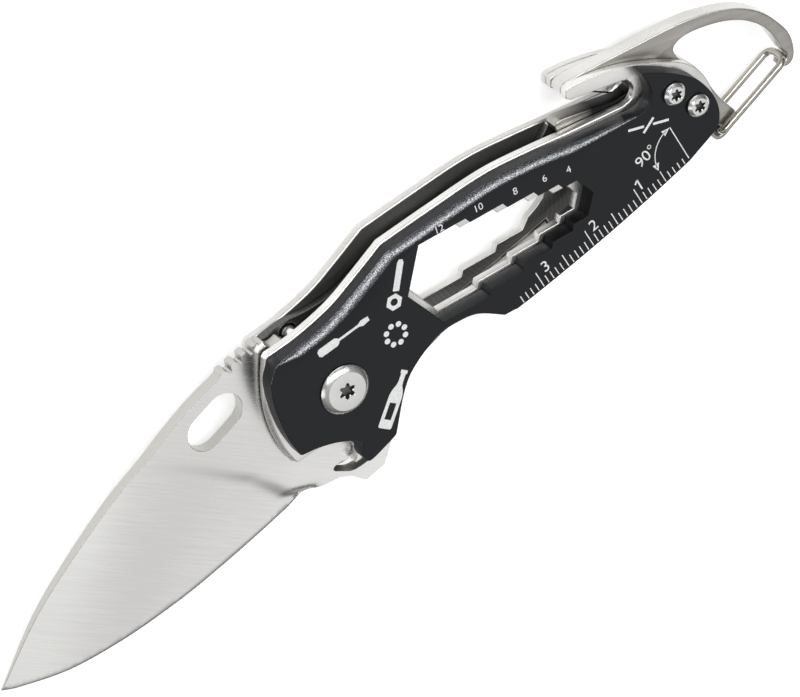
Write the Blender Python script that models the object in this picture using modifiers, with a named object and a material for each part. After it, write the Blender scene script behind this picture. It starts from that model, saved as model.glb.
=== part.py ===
"""Folding pocket multi tool: a clip-point blade, a stepped hex wrench, a bottle opener,
a cord cutter and a carabiner hook with a wire gate, all in one flat handle.

The handle is a stack of flat plates held by one pivot and two rear screws. The tool lies on
its back with the blade open: +X runs from the blade tip to the carabiner, +Y is the spine
side and +Z is the side with the black scale. The origin is at the bottom of the tool, in
the middle of its length and width. Outlines are in millimetres from the pivot's axis.
"""
import math

import bmesh
import bpy
from mathutils import Matrix, Vector

MM = 0.001

# Thicknesses of the stacked plates, and the small gap left between two neighbours
SCALE_THICKNESS = 2.9
LINER_THICKNESS = 1.5
LOCK_LINER_THICKNESS = 1.3
BACK_THICKNESS = 1.5
BLADE_THICKNESS = 2.4
WASHER_THICKNESS = 0.2
STACK_GAP = 0.1
FIT_GAP = 0.3
RUNNING_GAP = 0.1
HOOK_THICKNESS = BLADE_THICKNESS + 2 * (WASHER_THICKNESS + RUNNING_GAP)

# Fasteners
PIVOT_HEAD_RADIUS = 4.15
HEAD_HEIGHT = 0.9
RECESS_DEPTH = 0.7
PIVOT_BARREL_RADIUS = 2.5
PIVOT_SHANK_RADIUS = 1.4
PIVOT_RECESS_RADIUS = 1.35
PIVOT_SHOULDER = 0.9
REAR_HEAD_RADIUS = 1.9
REAR_BARREL_RADIUS = 1.5
REAR_SHANK_RADIUS = 0.8
REAR_RECESS_RADIUS = 0.95
REAR_SHOULDER = 0.5
REAR_SCREWS = [(68.0, 2.3), (70.2, -2.3)]
STOP_PIN_RADIUS = 1.35
STOP_PIN_WALL = 0.6
SPINE_AT_PIN = 11.5
STOP_PIN = (-0.9, SPINE_AT_PIN - STOP_PIN_WALL - FIT_GAP - STOP_PIN_RADIUS)
WASHER_RADIUS = 6.0

# Blade
BLADE_TIP = (-68.6, -6.0)
BLADE_EDGE_LOW = -15.2
GRIND_TOP = 9.5
PLUNGE_LINE = [(-15.7, -12.5), (-18.7, -5.5), (-23.6, 0.9), (-31.0, GRIND_TOP)]
GRIND_OVERRUN = 4.0
EDGE_HALF_THICKNESS = 0.2
TANG_CLEARANCE = 0.5
CLOSED_ANGLE = 169.0
THUMB_HOLE = (-18.4, 7.4)
THUMB_HOLE_RADIUS = 3.1
THUMB_HOLE_LENGTH = 10.4
THUMB_HOLE_TILT = 10.0
JIMPING_START = -13.8
JIMPING_PITCH = 2.1
JIMPING_TEETH = 4
JIMPING_DEPTH = 0.6

# Hex wrench: nominal sizes across the flats, and where the row of them lies
HEX_SIZES = [12, 10, 8, 6, 4]
HEX_CLEARANCE = 0.2
HEX_AXIS_ANGLE = -13.0
HEX_AXIS_OFFSET = 8.15
HEX_FIRST_CENTRE = 22.9
HEX_PITCH_BASE = 1.35
HEX_PITCH_PER_SIZE = 0.575
HEX_LOCK_LINER_STATIONS = 3
HEX_TAIL = [(1.5, -1.6), (3.3, -2.4), (4.8, -3.4)]
SCALE_WINDOW_MARGIN = 1.25
SCALE_WINDOW_SHIFT = 0.75
BACK_WINDOW_MARGIN = 1.0
BACK_WINDOW_SHIFT = -0.8

# Lock bar, cut out of the lock liner
LOCK_ROOT = 42.0
LOCK_TIP = 6.2
LOCK_TOP = -6.0
LOCK_KERF = 0.35
LOCK_BAR_BELLY = -9.9
DETENT_BALL_RADIUS = 0.6
DETENT_BALL_FROM_TIP = 2.2

# Carabiner, its gate and the cord cutter
HOOK_END = 89.8
GATE_PIVOT = (72.3, -12.4)
GATE_TIP = (HOOK_END - 2.9, -9.5)
WIRE_RADIUS = 0.6
WIRE_BEND = 1.1
BOW_BEND = 1.9
GATE_PIN_LENGTH = 1.1
SLOT_END = (61.9, 6.4)
SLOT_RADIUS = 2.05
CUTTER_THICKNESS = 1.0
CUTTER_OUTLINE = [(56.6, 10.3), (61.0, 5.6), (66.2, 5.6), (65.6, 8.2), (60.4, 11.0)]

# Levels, in millimetres above the surface that the tool lies on
BACK_BOTTOM = HEAD_HEIGHT
BACK_TOP = BACK_BOTTOM + BACK_THICKNESS
LOCK_BOTTOM = BACK_TOP + STACK_GAP
LOCK_LEVEL = LOCK_BOTTOM + LOCK_LINER_THICKNESS
HOOK_BOTTOM = LOCK_LEVEL + STACK_GAP
HOOK_TOP = HOOK_BOTTOM + HOOK_THICKNESS
LINER_BOTTOM = HOOK_TOP + STACK_GAP
LINER_TOP = LINER_BOTTOM + LINER_THICKNESS
SCALE_BOTTOM = LINER_TOP + STACK_GAP
SCALE_TOP = SCALE_BOTTOM + SCALE_THICKNESS
BLADE_MIDDLE = (LOCK_LEVEL + LINER_BOTTOM) / 2

# The pivot's place in the frame, from the four points that bound the open tool
SPINE_PEAK = (17.6, 14.5)
DRIVER_CORNER = (-4.2, -19.9)
PIVOT_AT = (-(HOOK_END + BLADE_TIP[0]) / 2, -(SPINE_PEAK[1] + DRIVER_CORNER[1]) / 2)


# ---------------------------------------------------------------- outlines

def smooth(points, steps=3):
    """A Catmull-Rom curve through the points, with the ends kept."""
    path = [Vector(point) for point in points]
    padded = [2 * path[0] - path[1]] + path + [2 * path[-1] - path[-2]]
    curve = []
    for a, b, c, d in zip(padded, padded[1:], padded[2:], padded[3:]):
        for step in range(steps):
            t = step / steps
            curve.append(0.5 * (2 * b + (c - a) * t + (2 * a - 5 * b + 4 * c - d) * t ** 2
                                + (3 * b - a - 3 * c + d) * t ** 3))
    return [tuple(point) for point in curve + [path[-1]]]


def arc(centre, radius, start, end, steps=8):
    """Points on an arc, with its angles in degrees."""
    angles = [math.radians(start + (end - start) * step / steps) for step in range(steps + 1)]
    return [(centre[0] + radius * math.cos(a), centre[1] + radius * math.sin(a)) for a in angles]


def circle(centre, radius, steps=24):
    return arc(centre, radius, 0, 360, steps)[:-1]


def star(centre, radius, points=6):
    """The rounded six-point recess of a security screw."""
    return [(centre[0] + radius * (0.86 + 0.14 * math.cos(points * a)) * math.cos(a),
             centre[1] + radius * (0.86 + 0.14 * math.cos(points * a)) * math.sin(a))
            for a in [math.radians(10 * step) for step in range(36)]]


def stadium(centre, radius, length, tilt):
    """A slot with round ends, turned by tilt degrees."""
    half = length / 2 - radius
    turn = math.radians(tilt)
    along = (half * math.cos(turn), half * math.sin(turn))
    left = (centre[0] - along[0], centre[1] - along[1])
    right = (centre[0] + along[0], centre[1] + along[1])
    return arc(left, radius, tilt + 90, tilt + 270) + arc(right, radius, tilt - 90, tilt + 90)


def on_hex_axis(along, across):
    """A point from its distance along the row of hexagons and across it."""
    turn = math.radians(HEX_AXIS_ANGLE)
    return (along * math.cos(turn) - across * math.sin(turn),
            along * math.sin(turn) + across * math.cos(turn))


def hex_row(stations, margin, shift=0.0, tail=()):
    """The union of the nested hexagons, as steps at 60 degrees on both sides of the axis. A
    tail carries on from the last step by its own small steps."""
    centre = HEX_FIRST_CENTRE
    middle = HEX_AXIS_OFFSET + shift
    halves = [(size + HEX_CLEARANCE) / 2 + margin for size in HEX_SIZES[:stations]]
    slope = math.tan(math.radians(30))
    side = [(centre - 2 * slope * halves[0], 0.0), (centre - slope * halves[0], halves[0])]
    for index, half in enumerate(halves):
        if index:
            size = HEX_SIZES[index]
            centre += HEX_PITCH_BASE + HEX_PITCH_PER_SIZE * size
            step = side[-1][1] - half
            side.append((side[-1][0] + slope * step, half))
        side.append((centre + slope * half, half))
    last, height = side[-1]
    side += [(last + along, height + across) for along, across in tail]
    side.append((side[-1][0] + slope * side[-1][1], 0.0))
    upper = [on_hex_axis(along, middle + across) for along, across in side]
    lower = [on_hex_axis(along, middle - across) for along, across in side[-2:0:-1]]
    return upper + lower


# The spine side, from the blade end to the cord slot
SPINE = (smooth([(-6.3, 12.0), (-0.9, SPINE_AT_PIN), (5.5, 11.7), (10.5, 12.7), SPINE_PEAK])[:-1]
         + smooth([SPINE_PEAK, (27.0, 13.4), (37.0, 12.0), (44.9, 9.7), (51.0, 7.6)]))
CORD_SLOT = ([(SLOT_END[0] - 1.0, SLOT_END[1] - SLOT_RADIUS + 0.05)]
             + arc(SLOT_END, SLOT_RADIUS, -85, 65)
             + [(54.6, 11.7)])
NOSE = smooth([(54.0, 12.4), (54.3, 13.2), (55.3, 13.8), (59.7, 12.4), (64.6, 9.9), (69.5, 6.3)])
REAR = smooth([(69.5, 6.3), (72.5, 3.4), (74.0, 0.5), (74.4, -2.5), (73.9, -5.4), (72.6, -7.7),
               (70.6, -8.9)])[1:]
BELLY = smooth([(64.5, -9.7), (56.2, -10.1), (46.3, -10.3), (34.5, -10.1), (28.6, -9.8)])
FINGER_NOTCH = smooth([(27.1, -9.3), (23.7, -5.9), (20.6, -4.6), (17.0, -4.1), (11.9, -5.2),
                       (7.9, -7.5), (2.5, -13.4)])
LOCK_BELLY = [(2.5, -13.4)]
OPENER_HOOK = smooth([(-0.4, -14.1), (-3.4, -14.6), (-4.6, -14.3), (-3.7, -13.7), (-3.1, -12.5),
                      (-3.2, -11.0), (-4.6, -9.4), (-8.0, -7.8), (-11.7, -7.3)])
FRONT_END = smooth([(-12.4, -6.6), (-12.6, -3.6), (-12.2, 0.4), (-11.1, 4.4), (-9.2, 8.3),
                    (-7.0, 11.7)])

# Behind the blade's heel the two lower plates close the opener's throat
CHIN = smooth([(0.9, -15.0), (-1.8, -16.3), (-5.4, -16.4), (-8.6, -14.4), (-10.6, -11.6),
               (-11.4, -9.0)])

LINER_OUTLINE = SPINE + CORD_SLOT + NOSE + REAR + BELLY + FINGER_NOTCH + OPENER_HOOK + FRONT_END
BACK_OUTLINE = SPINE + CORD_SLOT + NOSE + REAR + BELLY + LOCK_BELLY + CHIN + FRONT_END

# The lock liner stands back from the spine, and reaches it only at the nose
LOCK_SPINE = (smooth([(-5.8, 11.8), (-0.9, SPINE_AT_PIN), (3.5, 10.2), (8.0, 9.5), (12.5, 9.9),
                      (17.4, 10.9), (22.0, 11.0), (27.0, 10.2), (37.0, 8.7), (43.5, 6.6),
                      (47.5, 5.9)])
              + [(50.5, 7.4)])
LOCK_OUTLINE = (LOCK_SPINE + CORD_SLOT + NOSE + REAR + BELLY + LOCK_BELLY + CHIN
                + smooth([(-11.6, -6.6), (-11.8, -3.6), (-11.4, 0.4), (-10.3, 4.4), (-8.4, 8.4),
                          (-6.4, 11.4)]))

SCALE_OUTLINE = (smooth([(-6.4, 11.6), (0.6, 11.1), (5.5, 11.4), (10.5, 12.4), (17.4, 14.1)])
                 + smooth([(18.0, 14.1), (27.0, 13.0), (37.0, 11.6), (44.9, 9.3), (51.0, 6.9),
                           (57.0, 4.9), (61.5, 3.4)])
                 + smooth([(62.6, 3.3), (64.4, 4.0), (65.4, 5.8), (65.4, 8.8)])
                 + smooth([(65.8, 9.0), (69.0, 5.9), (70.9, 3.6), (72.4, 1.2), (73.2, -2.3),
                           (73.0, -5.2), (71.9, -7.5), (70.4, -8.5)])
                 + BELLY[:-1]
                 + [(29.0, -9.7)] + FINGER_NOTCH[:-1]
                 + smooth([(2.5, -13.2), (0.4, -13.5), (-3.0, -13.7), (-3.4, -11.9),
                           (-2.4, -10.0), (-4.8, -7.5), (-8.0, -5.6), (-11.0, -4.5)])
                 + smooth([(-11.3, -4.2), (-11.4, -0.3), (-10.7, 4.6), (-9.2, 9.1), (-7.1, 11.4)]))

BLADE_SPINE = smooth([BLADE_TIP, (-58.0, 0.6), (-48.2, 4.8), (-38.4, 8.1), (-30.5, 9.9),
                      (-23.6, 11.7), (-18.7, 12.6), (JIMPING_START - 0.9, 13.0)])
STOP_FACE = arc(STOP_PIN, STOP_PIN_RADIUS + FIT_GAP, 150, 215, 4)
PIN_CIRCLE = math.hypot(*STOP_PIN)
TANG_RADIUS = PIN_CIRCLE - STOP_PIN_RADIUS - TANG_CLEARANCE
PIN_ANGLE = math.degrees(math.atan2(STOP_PIN[1], STOP_PIN[0]))
PIN_WHEN_CLOSED = (PIN_CIRCLE * math.cos(math.radians(PIN_ANGLE - CLOSED_ANGLE)),
                   PIN_CIRCLE * math.sin(math.radians(PIN_ANGLE - CLOSED_ANGLE)))
CLOSED_FACE = arc(PIN_WHEN_CLOSED, STOP_PIN_RADIUS + FIT_GAP, 165, 225, 4)
TANG = (smooth([(-5.4, 13.3), (-5.3, 12.0), (-4.4, 11.2), (-2.9, 11.2)])
        + STOP_FACE
        + arc((0, 0), TANG_RADIUS, 103, -79, 24)
        + CLOSED_FACE
        + smooth([(0.2, -11.6), (-2.2, -12.4), (-3.2, -13.7), (-4.4, -14.5), (-5.9, -14.0),
                  (-7.2, -13.9), (-7.6, -14.4), (-6.9, -15.1), (-5.4, -16.5), (-3.9, -17.0),
                  (-1.9, -17.1), (0.4, -16.6), (2.1, -15.7), (3.1, -15.8), (2.9, -16.7)]))
DRIVER = [(0.8, -18.7), (-0.5, -19.8), DRIVER_CORNER, (-5.9, -17.2)]
BLADE_EDGE = (smooth([(-7.4, -16.1), (-10.8, -15.1), (-12.8, -14.3), (-14.7, -14.5)])
              + smooth([(-16.5, -14.8), (-23.4, -15.1), (-31.2, BLADE_EDGE_LOW), (-38.1, -15.0),
                        (-48.0, -13.9), (-57.8, -11.6), (-65.7, -7.9), BLADE_TIP])[:-1])

ARM = smooth([(55.3, 13.8), (57.4, 13.4), (64.9, 11.4), (74.8, 8.6), (79.7, 6.6),
              (HOOK_END - 5.2, 3.5), (HOOK_END - 2.0, -0.3), (HOOK_END - 0.3, -4.8),
              (HOOK_END, -7.4), (HOOK_END - 0.6, -9.8), (HOOK_END - 1.6, -11.2),
              (HOOK_END - 2.9, -11.5), (HOOK_END - 3.8, -10.9)])
GATE_NOTCH = arc(GATE_TIP, WIRE_RADIUS + FIT_GAP, 255, 400, 8)
LOOP = smooth([(HOOK_END - 2.3, -7.7), (HOOK_END - 2.5, -4.8), (HOOK_END - 3.2, -2.3),
               (HOOK_END - 5.2, 0.7), (HOOK_END - 8.1, 3.1), (77.7, 5.1),
               (74.8, 5.8), (72.9, 5.3), (72.8, 3.3), (74.0, 0.9), (74.7, -2.0), (75.0, -7.0),
               (76.1, -11.4)])
LUG = smooth([(75.8, -12.2), (74.6, -13.4), (73.0, -14.0), (71.5, -13.9), (70.8, -12.9),
              (70.6, -10.0), (70.2, -7.6)])
HOOK_INNER = smooth([(70.2, -6.4), (66.5, -3.9), (60.0, 0.8), (55.0, 4.3), (50.8, 6.6)])
SLOT_GUARD = [(50.4, 7.6)] + smooth([(50.6, 8.6), (51.5, 9.0), (54.2, 8.0), (60.9, 5.0)])
HOOK_OUTLINE = ([(54.6, 11.9), (54.1, 12.9), (54.6, 13.6)] + ARM + GATE_NOTCH + LOOP + LUG
                + HOOK_INNER + SLOT_GUARD + arc(SLOT_END, SLOT_RADIUS, -60, 65))


# ---------------------------------------------------------------- building blocks

def material(name, colour, roughness, metallic):
    result = bpy.data.materials.new(name)
    result.use_nodes = True
    shader = result.node_tree.nodes["Principled BSDF"]
    shader.inputs["Base Color"].default_value = (*colour, 1.0)
    shader.inputs["Roughness"].default_value = roughness
    shader.inputs["Metallic"].default_value = metallic
    return result


def finish(piece, name, finish_material, collection=None):
    """Name a piece, give it its material, and hang it on the pivot's empty."""
    piece.name = name
    piece.data.name = name
    piece.data.materials.clear()
    piece.data.materials.append(finish_material)
    for old in list(piece.users_collection):
        old.objects.unlink(piece)
    (collection or TOOL).objects.link(piece)
    piece.parent = PIVOT
    return piece


def weld(mesh):
    """Join the loose caps of a converted curve."""
    shape = bmesh.new()
    shape.from_mesh(mesh)
    bmesh.ops.remove_doubles(shape, verts=shape.verts, dist=1e-7)
    bmesh.ops.recalc_face_normals(shape, faces=shape.faces)
    shape.to_mesh(mesh)
    shape.free()


def as_mesh(curve_object):
    """Turn a curve object into a welded mesh object in the same place."""
    view = bpy.context.view_layer
    view.update()
    evaluated = curve_object.evaluated_get(bpy.context.evaluated_depsgraph_get())
    mesh = bpy.data.meshes.new_from_object(evaluated)
    weld(mesh)
    result = bpy.data.objects.new(curve_object.name, mesh)
    result.matrix_world = curve_object.matrix_world
    bpy.context.scene.collection.objects.link(result)
    bpy.data.objects.remove(curve_object)
    return result


def plate(name, outlines, bottom, thickness, finish_material, collection=None):
    """A flat plate: its outer outline, then the outlines of its holes."""
    curve = bpy.data.curves.new(name, "CURVE")
    curve.dimensions = "2D"
    curve.fill_mode = "BOTH"
    curve.extrude = thickness * MM / 2
    for outline in outlines:
        spline = curve.splines.new("POLY")
        spline.points.add(len(outline) - 1)
        for point, (x, y) in zip(spline.points, outline):
            point.co = (x * MM, y * MM, 0, 1)
        spline.use_cyclic_u = True
    guide = bpy.data.objects.new(name, curve)
    bpy.context.scene.collection.objects.link(guide)
    guide.location = (0, 0, (bottom + thickness / 2) * MM)
    return finish(as_mesh(guide), name, finish_material, collection)


def turned(name, profile, at, finish_material, steps=24):
    """A solid turned about Z from its profile of (radius, height), top to bottom."""
    mesh = bpy.data.meshes.new(name)
    mesh.from_pydata([(r * MM, 0, z * MM) for r, z in profile],
                     [(i, i + 1) for i in range(len(profile) - 1)], [])
    piece = bpy.data.objects.new(name, mesh)
    bpy.context.scene.collection.objects.link(piece)
    piece.location = (at[0] * MM, at[1] * MM, 0)
    screw = piece.modifiers.new("Turn", "SCREW")
    screw.steps = screw.render_steps = steps
    screw.use_merge_vertices = True
    screw.merge_threshold = 1e-6
    return finish(piece, name, finish_material)


def cylinder(name, at, radius, bottom, top, finish_material, sides=20):
    bpy.ops.mesh.primitive_cylinder_add(
        vertices=sides, radius=radius * MM, depth=(top - bottom) * MM,
        location=(at[0] * MM, at[1] * MM, (bottom + top) / 2 * MM))
    return finish(bpy.context.object, name, finish_material)


def cut(piece, cutter):
    boolean = piece.modifiers.new("Cut " + cutter.name, "BOOLEAN")
    boolean.operation = "DIFFERENCE"
    boolean.object = cutter
    cutter.hide_render = True
    cutter.display_type = "WIRE"


def recess(piece, at, radius, top, depth):
    """Sink a star recess into a screw's head."""
    cutter = plate(piece.name + "_recess", [star(at, radius)], top - depth, depth + 1.0,
                   STEEL, CUTTERS)
    cut(piece, cutter)


# ---------------------------------------------------------------- pieces

def fastener_holes(pivot_radius, rear_radius):
    return ([circle((0, 0), pivot_radius)]
            + [circle(centre, rear_radius, 16) for centre in REAR_SCREWS])


def make_scale():
    holes = fastener_holes(PIVOT_BARREL_RADIUS + FIT_GAP, REAR_BARREL_RADIUS + FIT_GAP)
    window = hex_row(len(HEX_SIZES), SCALE_WINDOW_MARGIN, SCALE_WINDOW_SHIFT)
    plate("front_scale", [SCALE_OUTLINE, window] + holes, SCALE_BOTTOM, SCALE_THICKNESS, ANODISED)


def make_plates():
    holes = fastener_holes(PIVOT_BARREL_RADIUS + FIT_GAP, REAR_BARREL_RADIUS + FIT_GAP)
    pin_hole = circle(STOP_PIN, STOP_PIN_RADIUS + FIT_GAP, 20)
    plate("front_liner", [LINER_OUTLINE, hex_row(len(HEX_SIZES), 0.0), pin_hole] + holes,
          LINER_BOTTOM, LINER_THICKNESS, STEEL)
    plate("back_plate",
          [BACK_OUTLINE, hex_row(HEX_LOCK_LINER_STATIONS, BACK_WINDOW_MARGIN, BACK_WINDOW_SHIFT,
                                 HEX_TAIL)] + holes,
          BACK_BOTTOM, BACK_THICKNESS, STEEL)
    liner = plate("lock_liner",
                  [LOCK_OUTLINE, hex_row(HEX_LOCK_LINER_STATIONS, 0.0, 0.0, HEX_TAIL), pin_hole]
                  + holes,
                  LOCK_BOTTOM, LOCK_LINER_THICKNESS, STEEL)
    bay = [(LOCK_TIP - LOCK_KERF, LOCK_TOP), (LOCK_ROOT + LOCK_KERF, LOCK_TOP),
           (LOCK_ROOT + LOCK_KERF, -14.0), (3.6, -14.0), (4.6, -10.4)]
    cutter = plate("lock_bay", [bay], LOCK_BOTTOM - 1, LOCK_LINER_THICKNESS + 2, STEEL, CUTTERS)
    cut(liner, cutter)


def make_lock_bar():
    top = LOCK_TOP - LOCK_KERF
    outline = ([(LOCK_TIP, top), (LOCK_ROOT, top), (LOCK_ROOT, -10.2)]
               + smooth([(34.5, LOCK_BAR_BELLY - 0.2), (20.0, LOCK_BAR_BELLY),
                         (9.0, LOCK_BAR_BELLY), (LOCK_TIP - 0.3, LOCK_BAR_BELLY + 0.3)]))
    ball_at = (LOCK_TIP + DETENT_BALL_FROM_TIP, (top + LOCK_BAR_BELLY) / 2)
    ball_hole = circle(ball_at, DETENT_BALL_RADIUS + RUNNING_GAP, 16)
    plate("lock_bar", [outline, ball_hole], LOCK_BOTTOM, LOCK_LINER_THICKNESS, STEEL)
    bpy.ops.mesh.primitive_uv_sphere_add(
        segments=16, ring_count=8, radius=DETENT_BALL_RADIUS * MM,
        location=(ball_at[0] * MM, ball_at[1] * MM,
                  (LOCK_LEVEL + RUNNING_GAP - DETENT_BALL_RADIUS) * MM))
    finish(bpy.context.object, "detent_ball", CHROME)


def jimping():
    """Square teeth for the thumb along the end of the spine."""
    points = []
    for tooth in range(JIMPING_TEETH):
        x = JIMPING_START + tooth * JIMPING_PITCH
        y = 13.2 + 0.05 * tooth
        points += [(x, y), (x + 0.3, y + 0.4), (x + 1.1, y + 0.4), (x + 1.4, y),
                   (x + 1.5, y - JIMPING_DEPTH), (x + 1.95, y - JIMPING_DEPTH)]
    return points[:-2]


def make_blade():
    bottom = BLADE_MIDDLE - BLADE_THICKNESS / 2
    outline = BLADE_SPINE + jimping() + TANG + DRIVER + BLADE_EDGE
    holes = [circle((0, 0), PIVOT_BARREL_RADIUS + RUNNING_GAP),
             stadium(THUMB_HOLE, THUMB_HOLE_RADIUS, THUMB_HOLE_LENGTH, THUMB_HOLE_TILT)]
    blade = plate("blade", [outline] + holes, bottom, BLADE_THICKNESS, BLADE_STEEL)
    rise = BLADE_THICKNESS / 2 - EDGE_HALF_THICKNESS
    slope = math.atan2(rise, GRIND_TOP - BLADE_EDGE_LOW)
    beyond_tip = BLADE_TIP[0] - GRIND_OVERRUN
    below_edge = BLADE_EDGE_LOW - GRIND_OVERRUN
    grind = ([(beyond_tip, below_edge), (PLUNGE_LINE[0][0], below_edge)] + PLUNGE_LINE
             + [(beyond_tip, GRIND_TOP)])
    wedge = BLADE_THICKNESS + rise
    for side, name in ((1, "grind_front"), (-1, "grind_back")):
        cutter = plate(name, [grind], 0, wedge, STEEL, CUTTERS)
        hinge = Matrix.Translation((0, GRIND_TOP * MM, 0))
        lean = hinge @ Matrix.Rotation(slope, 4, "X") @ hinge.inverted()
        base = Matrix.Translation((0, 0, BLADE_THICKNESS / 2 * MM)) @ lean
        cutter.data.transform(Matrix.Translation((0, 0, wedge / 2 * MM)))
        cutter.data.transform(base)
        if side < 0:
            cutter.data.transform(Matrix.Scale(-1, 4, (0, 0, 1)))
            cutter.data.flip_normals()
        cutter.location = (0, 0, BLADE_MIDDLE * MM)
        cut(blade, cutter)


def make_washers():
    for name, bottom in (("front_washer", LINER_BOTTOM - STACK_GAP - WASHER_THICKNESS),
                         ("back_washer", LOCK_LEVEL + STACK_GAP)):
        plate(name, [circle((0, 0), WASHER_RADIUS), circle((0, 0), PIVOT_BARREL_RADIUS + FIT_GAP)],
              bottom, WASHER_THICKNESS, BRONZE)


def screw_and_barrel(names, at, head, barrel, shank, shoulder, recess_radius, sides):
    """A barrel nut from the back with its flange, and the screw that closes it in front."""
    seat = SCALE_TOP + STACK_GAP
    top = seat + HEAD_HEIGHT
    turned(names[0], [(0, top), (head - shoulder, top), (head, top - shoulder * 0.6), (head, seat),
                      (shank, seat), (shank, BACK_TOP), (0, BACK_TOP)], at, CHROME, sides)
    recess(bpy.data.objects[names[0]], at, recess_radius, top, RECESS_DEPTH)
    bore = shank + FIT_GAP
    flange = BACK_BOTTOM - STACK_GAP
    mouth = seat - FIT_GAP
    turned(names[1], [(bore, mouth), (barrel, mouth), (barrel, flange), (head, flange),
                      (head, shoulder * 0.4), (head - shoulder * 0.6, 0), (bore, 0),
                      (bore, mouth)], at, CHROME, sides)


def make_fasteners():
    screw_and_barrel(("pivot_screw", "pivot_barrel"), (0, 0),
                     PIVOT_HEAD_RADIUS, PIVOT_BARREL_RADIUS, PIVOT_SHANK_RADIUS,
                     PIVOT_SHOULDER, PIVOT_RECESS_RADIUS, 32)
    for label, at in zip(("upper", "lower"), REAR_SCREWS):
        screw_and_barrel((f"rear_screw_{label}", f"rear_barrel_{label}"), at,
                         REAR_HEAD_RADIUS, REAR_BARREL_RADIUS, REAR_SHANK_RADIUS,
                         REAR_SHOULDER, REAR_RECESS_RADIUS, 20)
    cylinder("stop_pin", STOP_PIN, STOP_PIN_RADIUS, LOCK_BOTTOM + STACK_GAP,
             LINER_TOP - STACK_GAP, STEEL)


def make_hook():
    """The carabiner plate, which is also the spacer at the rear, and the cutter set in it."""
    holes = [circle(centre, REAR_BARREL_RADIUS + FIT_GAP, 16) for centre in REAR_SCREWS]
    holes.append(circle(GATE_PIVOT, WIRE_RADIUS + FIT_GAP, 16))
    hook = plate("carabiner_hook", [HOOK_OUTLINE] + holes, HOOK_BOTTOM, HOOK_THICKNESS, HOOK_STEEL)
    level = (HOOK_BOTTOM + HOOK_TOP) / 2
    middle = Vector((sum(x for x, _ in CUTTER_OUTLINE), sum(y for _, y in CUTTER_OUTLINE)))
    middle /= len(CUTTER_OUTLINE)
    pocket = [tuple(corner + (corner - middle).normalized() * 2 * FIT_GAP)
              for corner in map(Vector, CUTTER_OUTLINE)]
    floor = level - CUTTER_THICKNESS / 2 - FIT_GAP
    cut(hook, plate("cutter_pocket", [pocket], floor, HOOK_TOP + 1 - floor, STEEL, CUTTERS))
    plate("cord_cutter", [CUTTER_OUTLINE], level - CUTTER_THICKNESS / 2, CUTTER_THICKNESS,
          BLADE_STEEL)


def make_gate():
    """The wire gate: one bent wire, with a leg on each face of the hook."""
    front = HOOK_TOP + FIT_GAP + WIRE_RADIUS
    back = HOOK_BOTTOM - FIT_GAP - WIRE_RADIUS
    start, end = Vector(GATE_PIVOT), Vector(GATE_TIP)
    along = (end - start).normalized()
    inner = start + along * WIRE_BEND
    outer = end - along * BOW_BEND

    def bend(corner_from, corner, corner_to, steps=4):
        """A quarter turn between two straight runs, as a quadratic curve."""
        return [(1 - t) ** 2 * corner_from + 2 * t * (1 - t) * corner + t ** 2 * corner_to
                for t in [step / steps for step in range(steps + 1)]]

    def at(flat, level):
        return Vector((flat.x, flat.y, level))

    path = [at(start, HOOK_TOP - GATE_PIN_LENGTH)]
    path += bend(at(start, front - WIRE_BEND), at(start, front), at(inner, front))
    path += bend(at(outer, front), at(end, front), at(end, front - BOW_BEND), 6)
    path += bend(at(end, back + BOW_BEND), at(end, back), at(outer, back), 6)
    path += bend(at(inner, back), at(start, back), at(start, back + WIRE_BEND))
    path.append(at(start, HOOK_BOTTOM + GATE_PIN_LENGTH))
    curve = bpy.data.curves.new("gate_wire", "CURVE")
    curve.dimensions = "3D"
    curve.bevel_depth = WIRE_RADIUS * MM
    curve.bevel_resolution = 2
    curve.use_fill_caps = True
    spline = curve.splines.new("POLY")
    spline.points.add(len(path) - 1)
    for point, place in zip(spline.points, path):
        point.co = (*(place * MM), 1)
    guide = bpy.data.objects.new("gate_wire", curve)
    bpy.context.scene.collection.objects.link(guide)
    finish(as_mesh(guide), "gate_wire", CHROME)


for old in list(bpy.data.objects):
    bpy.data.objects.remove(old)
TOOL = bpy.data.collections.new("multi_tool")
CUTTERS = bpy.data.collections.new("cutters")
bpy.context.scene.collection.children.link(TOOL)
bpy.context.scene.collection.children.link(CUTTERS)
PIVOT = bpy.data.objects.new("pivot", None)
PIVOT.location = (PIVOT_AT[0] * MM, PIVOT_AT[1] * MM, 0)
TOOL.objects.link(PIVOT)

STEEL = material("brushed_steel", (0.70, 0.69, 0.67), 0.35, 1.0)
BLADE_STEEL = material("satin_blade_steel", (0.78, 0.77, 0.74), 0.28, 1.0)
HOOK_STEEL = material("satin_hook_steel", (0.62, 0.60, 0.57), 0.38, 1.0)
CHROME = material("polished_steel", (0.85, 0.85, 0.84), 0.10, 1.0)
ANODISED = material("black_anodised", (0.03, 0.032, 0.036), 0.5, 0.2)
BRONZE = material("bronze", (0.55, 0.38, 0.18), 0.4, 1.0)

make_scale()
make_plates()
make_lock_bar()
make_blade()
make_washers()
make_fasteners()
make_hook()
make_gate()
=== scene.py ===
"""The looks of the folding multi tool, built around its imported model.

The tool lies on its back on a pale light table: a blade, a black scale on steel plates, a
stepped hex opening, an opener hook, a cord cutter and a carabiner with a wire gate.
Outlines are in millimetres from the blade pivot's axis, levels in millimetres above the table.
"""

import bpy
import numpy as np
from mathutils import Matrix, Vector
from mathutils.geometry import delaunay_2d_cdt, tessellate_polygon


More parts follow.
